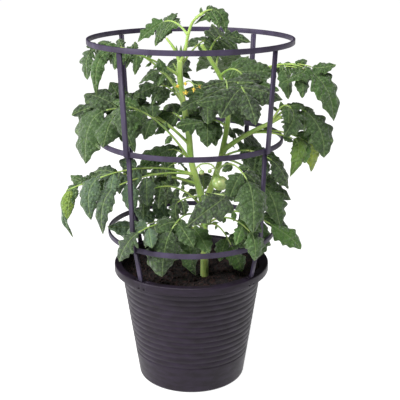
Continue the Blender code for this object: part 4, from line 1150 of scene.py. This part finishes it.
# %% [markdown]
# Flowers hang from a thin hairy stalk. Each has five pointed yellow petals that bend back round a
# cone of stamens, and five thin green sepals behind them. Petals are the same kind of grid as the
# leaflets, only plainer.

# %% Flowers
petal_skin, tree, shader = new_material("petal_soft_yellow", "#f2cb32", 0.5, Sheen_Weight=0.2,
                                        Subsurface_Weight=0.3, Subsurface_Scale=0.001)
place = add(tree, "TexCoord", out="Object")
tint = add(tree, "TexNoise", {"Vector": place, "Scale": 1000 / 4, "Detail": 2.0}, out="Fac")
yellow = add(tree, "Mix", {MIX_FACTOR: tint, MIX_FIRST: "#e8b31c", MIX_SECOND: "#f8de6a"},
             data_type="RGBA")
link(tree, shader, Base_Color=yellow)

FLOWER_STALK = [(-15, -10, 565), (-15, -25, 590), (-5, -30, 600), (5, -35, 595)]
FLOWERS = [(-25, -30, 590), (-10, -40, 580), (5, -40, 585), (15, -30, 590), (-10, -35, 595)]
PETAL_LENGTH = 6.5 * MM


def petal(centre, axis, turn, length, width, lean, thickness):
    """A pointed strip from a flower's centre: width sin(pi s)^0.7, bending from the axis outwards."""
    side = unit(np.cross(axis, (0.31, 0.2, 0.92)))
    out = turn_about(axis, turn) @ side
    across = np.cross(axis, out)
    s = np.linspace(0, 1, 8)[:, None]
    spine = centre + out * s * length * np.cos(lean) + axis * length * (0.35 * s - np.sin(lean) * s**2)
    half = np.maximum(width / 2 * np.sin(np.pi * s**0.8) ** 0.7, 0.15 * MM)
    t = np.array([1, 0, -1, -1, 0, 1.0])[None, :]
    under = np.array([1, 1, 1, 0, 0, 0.0])[None, :]
    cup = 0.25 * half * np.abs(t) - under * thickness
    return spine[:, None] + across * (t * half)[..., None] + axis * cup[..., None]


stalk_line = smooth_line(FLOWER_STALK, 8) * MM
stalk_radii = np.full(len(stalk_line), 1.0 * MM)
tubes = [(round_tube(stalk_line, stalk_radii, 10), 1, False, {})]
draw = np.random.default_rng(31)
tubes += [(row, 2, loop, data) for row, _, loop, data in hairs(stalk_line, stalk_radii, 160, 1.6 * MM,
                                                              0.08 * MM, draw)]
for k, centre in enumerate(FLOWERS):
    centre = np.array(centre) * MM
    near = stalk_line[np.linalg.norm(stalk_line - centre, axis=1).argmin()]
    bow = (near + centre) / 2 + np.array([0, -2, 2]) * MM
    pedicel = arc_line(near, bow, centre, np.linspace(0, 1, 8))
    tubes.append((round_tube(pedicel, np.linspace(0.7, 0.9, 8) * MM, 8), 1, False, {}))
    axis = unit(unit(centre - near) + np.array([0, -0.7, -0.3]) + draw.uniform(-0.3, 0.3, 3))
    opening = 0.9 if k % 2 == 0 else 0.45
    for petal_number in range(5):
        turn = 72 * petal_number + draw.uniform(-8, 8)
        tubes.append((petal(centre, axis, turn, PETAL_LENGTH, 3.2 * MM, opening, 0.25 * MM), 0, False, {}))
        tubes.append((petal(centre - axis * 0.8 * MM, axis, turn + 36, 0.8 * PETAL_LENGTH, 1.2 * MM,
                            1.1, 0.3 * MM), 1, False, {}))
    cone_line = centre + axis * np.linspace(0, 5.5, 6)[:, None] * MM
    tubes.append((round_tube(cone_line, np.array([1.0, 1.3, 1.2, 0.9, 0.5, 0.2]) * MM, 10), 0, False, {}))
flowers = make_piece("flowers_and_stalk", tubes, [petal_skin, green_stem, stem_hair],
                     ["flower_truss"])
print("flowers:", triangles(flowers), "triangles")

# %% [markdown]
# The green tomato is a little wider than tall, with a shallow dent at its stalk and five very soft
# lobes. Its skin is smooth and waxy and pale green, and five narrow sepals lie on its shoulders.

# %% Fruit
fruit_skin, tree, shader = new_material("fruit_waxy_green_skin", "#a9bf72", 0.24, Subsurface_Weight=0.25,
                                        Subsurface_Scale=0.004, Coat_Weight=0.2, Coat_Roughness=0.15)
place = add(tree, "TexCoord", out="Object")
cloud = add(tree, "TexNoise", {"Vector": place, "Scale": 1000 / 11, "Detail": 3.0}, out="Fac")
cloud = add(tree, "MapRange", {"Value": cloud, "From Min": 0.35, "From Max": 0.7})
flesh = add(tree, "Mix", {MIX_FACTOR: cloud, MIX_FIRST: "#8fa95a", MIX_SECOND: "#c3d195"},
            data_type="RGBA")
link(tree, shader, Base_Color=flesh)

FRUIT_STALK = [(5, -10, 425), (20, -20, 440), (40, -30, 440), (55, -30, 415)]
FRUIT_CENTRE = (55, -30, 405)
FRUIT_RADII = (15.5, 15.5, 13.5)
SMALL_FRUITS = [(20, -25, 425, 5.0), (35, -35, 430, 4.0)]


def fruit_tube(centre, radii, axis, lobes):
    """Turned outline of a tomato: radius sin(a), height -cos(a), dented on top, with soft lobes."""
    a = np.linspace(0.02, 0.985, 26)[:, None] * np.pi
    turn = 2 * np.pi * np.arange(48)[None, :] / 48
    round_ = np.sin(a) * (1 + lobes * np.cos(5 * turn) * np.sin(a))
    high = -np.cos(a) - 0.22 * np.exp(-(((np.pi - a) / 0.42) ** 2))
    grid = np.stack([radii[0] * round_ * np.cos(turn), radii[1] * round_ * np.sin(turn),
                     radii[2] * high + 0 * turn], axis=-1) * MM
    tilt = unit(np.array(axis, float))
    side = unit(np.cross(tilt, (0.1, 1.0, 0.2)))
    return np.array(centre) * MM + grid @ np.array([side, np.cross(tilt, side), tilt])


line = smooth_line(FRUIT_STALK, 8) * MM
radii = np.interp(np.linspace(0, 1, len(line)), [0, 0.75, 0.85, 1], [1.5, 1.2, 1.9, 1.4]) * MM
tubes = [(round_tube(line, radii, 10), 0, False, {})]
tubes += hairs(line, radii, 500, 2.2 * MM, 0.09 * MM, draw)
for x, y, z, radius in SMALL_FRUITS:
    near = line[np.linalg.norm(line - np.array([x, y, z]) * MM, axis=1).argmin()]
    pedicel = arc_line(near, near + [0, -0.004, 0.001], np.array([x, y, z + 0.8 * radius]) * MM,
                       np.linspace(0, 1, 8))
    tubes.append((round_tube(pedicel, np.full(8, 0.8 * MM), 8), 0, False, {}))
    tubes.append((fruit_tube((x, y, z), (radius, radius, radius), (0, 0, 1), 0.0), 2, False, {}))
    tubes += hairs(pedicel, np.full(8, 0.8 * MM), 60, 1.8 * MM, 0.08 * MM, draw)
for k in range(5):
    top_of_fruit = (np.array(FRUIT_CENTRE) + (0, 0, 0.80 * FRUIT_RADII[2])) * MM
    tubes.append((petal(top_of_fruit, np.array([0, 0, 1.0]), 72 * k + draw.uniform(-10, 10),
                        (9 + 3 * draw.random()) * MM, 2.4 * MM, 0.25 - 0.3 * draw.random(), 0.4 * MM),
                  0, False, {}))
truss = make_piece("fruit_stalk_and_sepals", tubes, [green_stem, stem_hair, fruit_skin],
                   ["fruit_truss"])
tomato = make_piece("tomato_green", [(fruit_tube(FRUIT_CENTRE, FRUIT_RADII, (0.1, -0.25, 1), 0.02), 0,
                                      False, {})], [fruit_skin], ["green_tomato"])
print("fruit:", triangles(truss) + triangles(tomato), "triangles")

# %% [markdown]
# The plant stands on a white floor that glows, as a studio's lit table does, so hardly any shadow
# falls on it. An even dim sky, a large soft lamp overhead and another from the left light the plant.
# So upper sides are bright, the heart of the plant is dark, and the pot is lighter on its left. The
# colours are shown as they are, without a film look.

# %% Floor and light
floor_paint, _, _ = new_material("floor_lit_white_acrylic", "#8c8c8c", 0.9, Specular_IOR_Level=0.0,
                                 Emission_Color=(1, 1, 1, 1), Emission_Strength=0.99)
floor_mesh = bpy.data.meshes.new("floor")
REACH = 40.0
floor_mesh.from_pydata([(-REACH, -REACH, 0), (REACH, -REACH, 0), (REACH, REACH, 0), (-REACH, REACH, 0)],
                       [], [(0, 1, 2, 3)])
floor_mesh.materials.append(floor_paint)
floor = bpy.data.objects.new("floor", floor_mesh)
floor.location = (0, 0, -0.0005)
bpy.context.scene.collection.objects.link(floor)

world = bpy.data.worlds.new("studio")
world.use_nodes = True
world.node_tree.nodes["Background"].inputs["Color"].default_value = (1, 1, 1, 1)
world.node_tree.nodes["Background"].inputs["Strength"].default_value = 0.06
bpy.context.scene.world = world
bpy.context.scene.view_settings.view_transform = "Standard"


def soft_lamp(name, place, target, size, watts):
    """A square area lamp that looks at a point."""
    data = bpy.data.lights.new(name, "AREA")
    data.energy, data.size = watts, size
    lamp = bpy.data.objects.new(name, data)
    ahead = unit(np.array(target, float) - np.array(place, float))
    side = unit(np.cross(ahead, (0, 0, 1)))
    above = np.cross(side, ahead)
    turned_axes = np.array([side, above, -ahead]).T
    lamp.matrix_world = Matrix([[*row, at] for row, at in zip(turned_axes, place)] + [[0, 0, 0, 1]])
    bpy.context.scene.collection.objects.link(lamp)
    return lamp


soft_lamp("overhead", (-0.8, -2.2, 4.2), (0, 0, 0.4), 1.8, 220)
soft_lamp("left", (-2.7, -1.1, 1.5), (0, 0, 0.35), 1.3, 84)
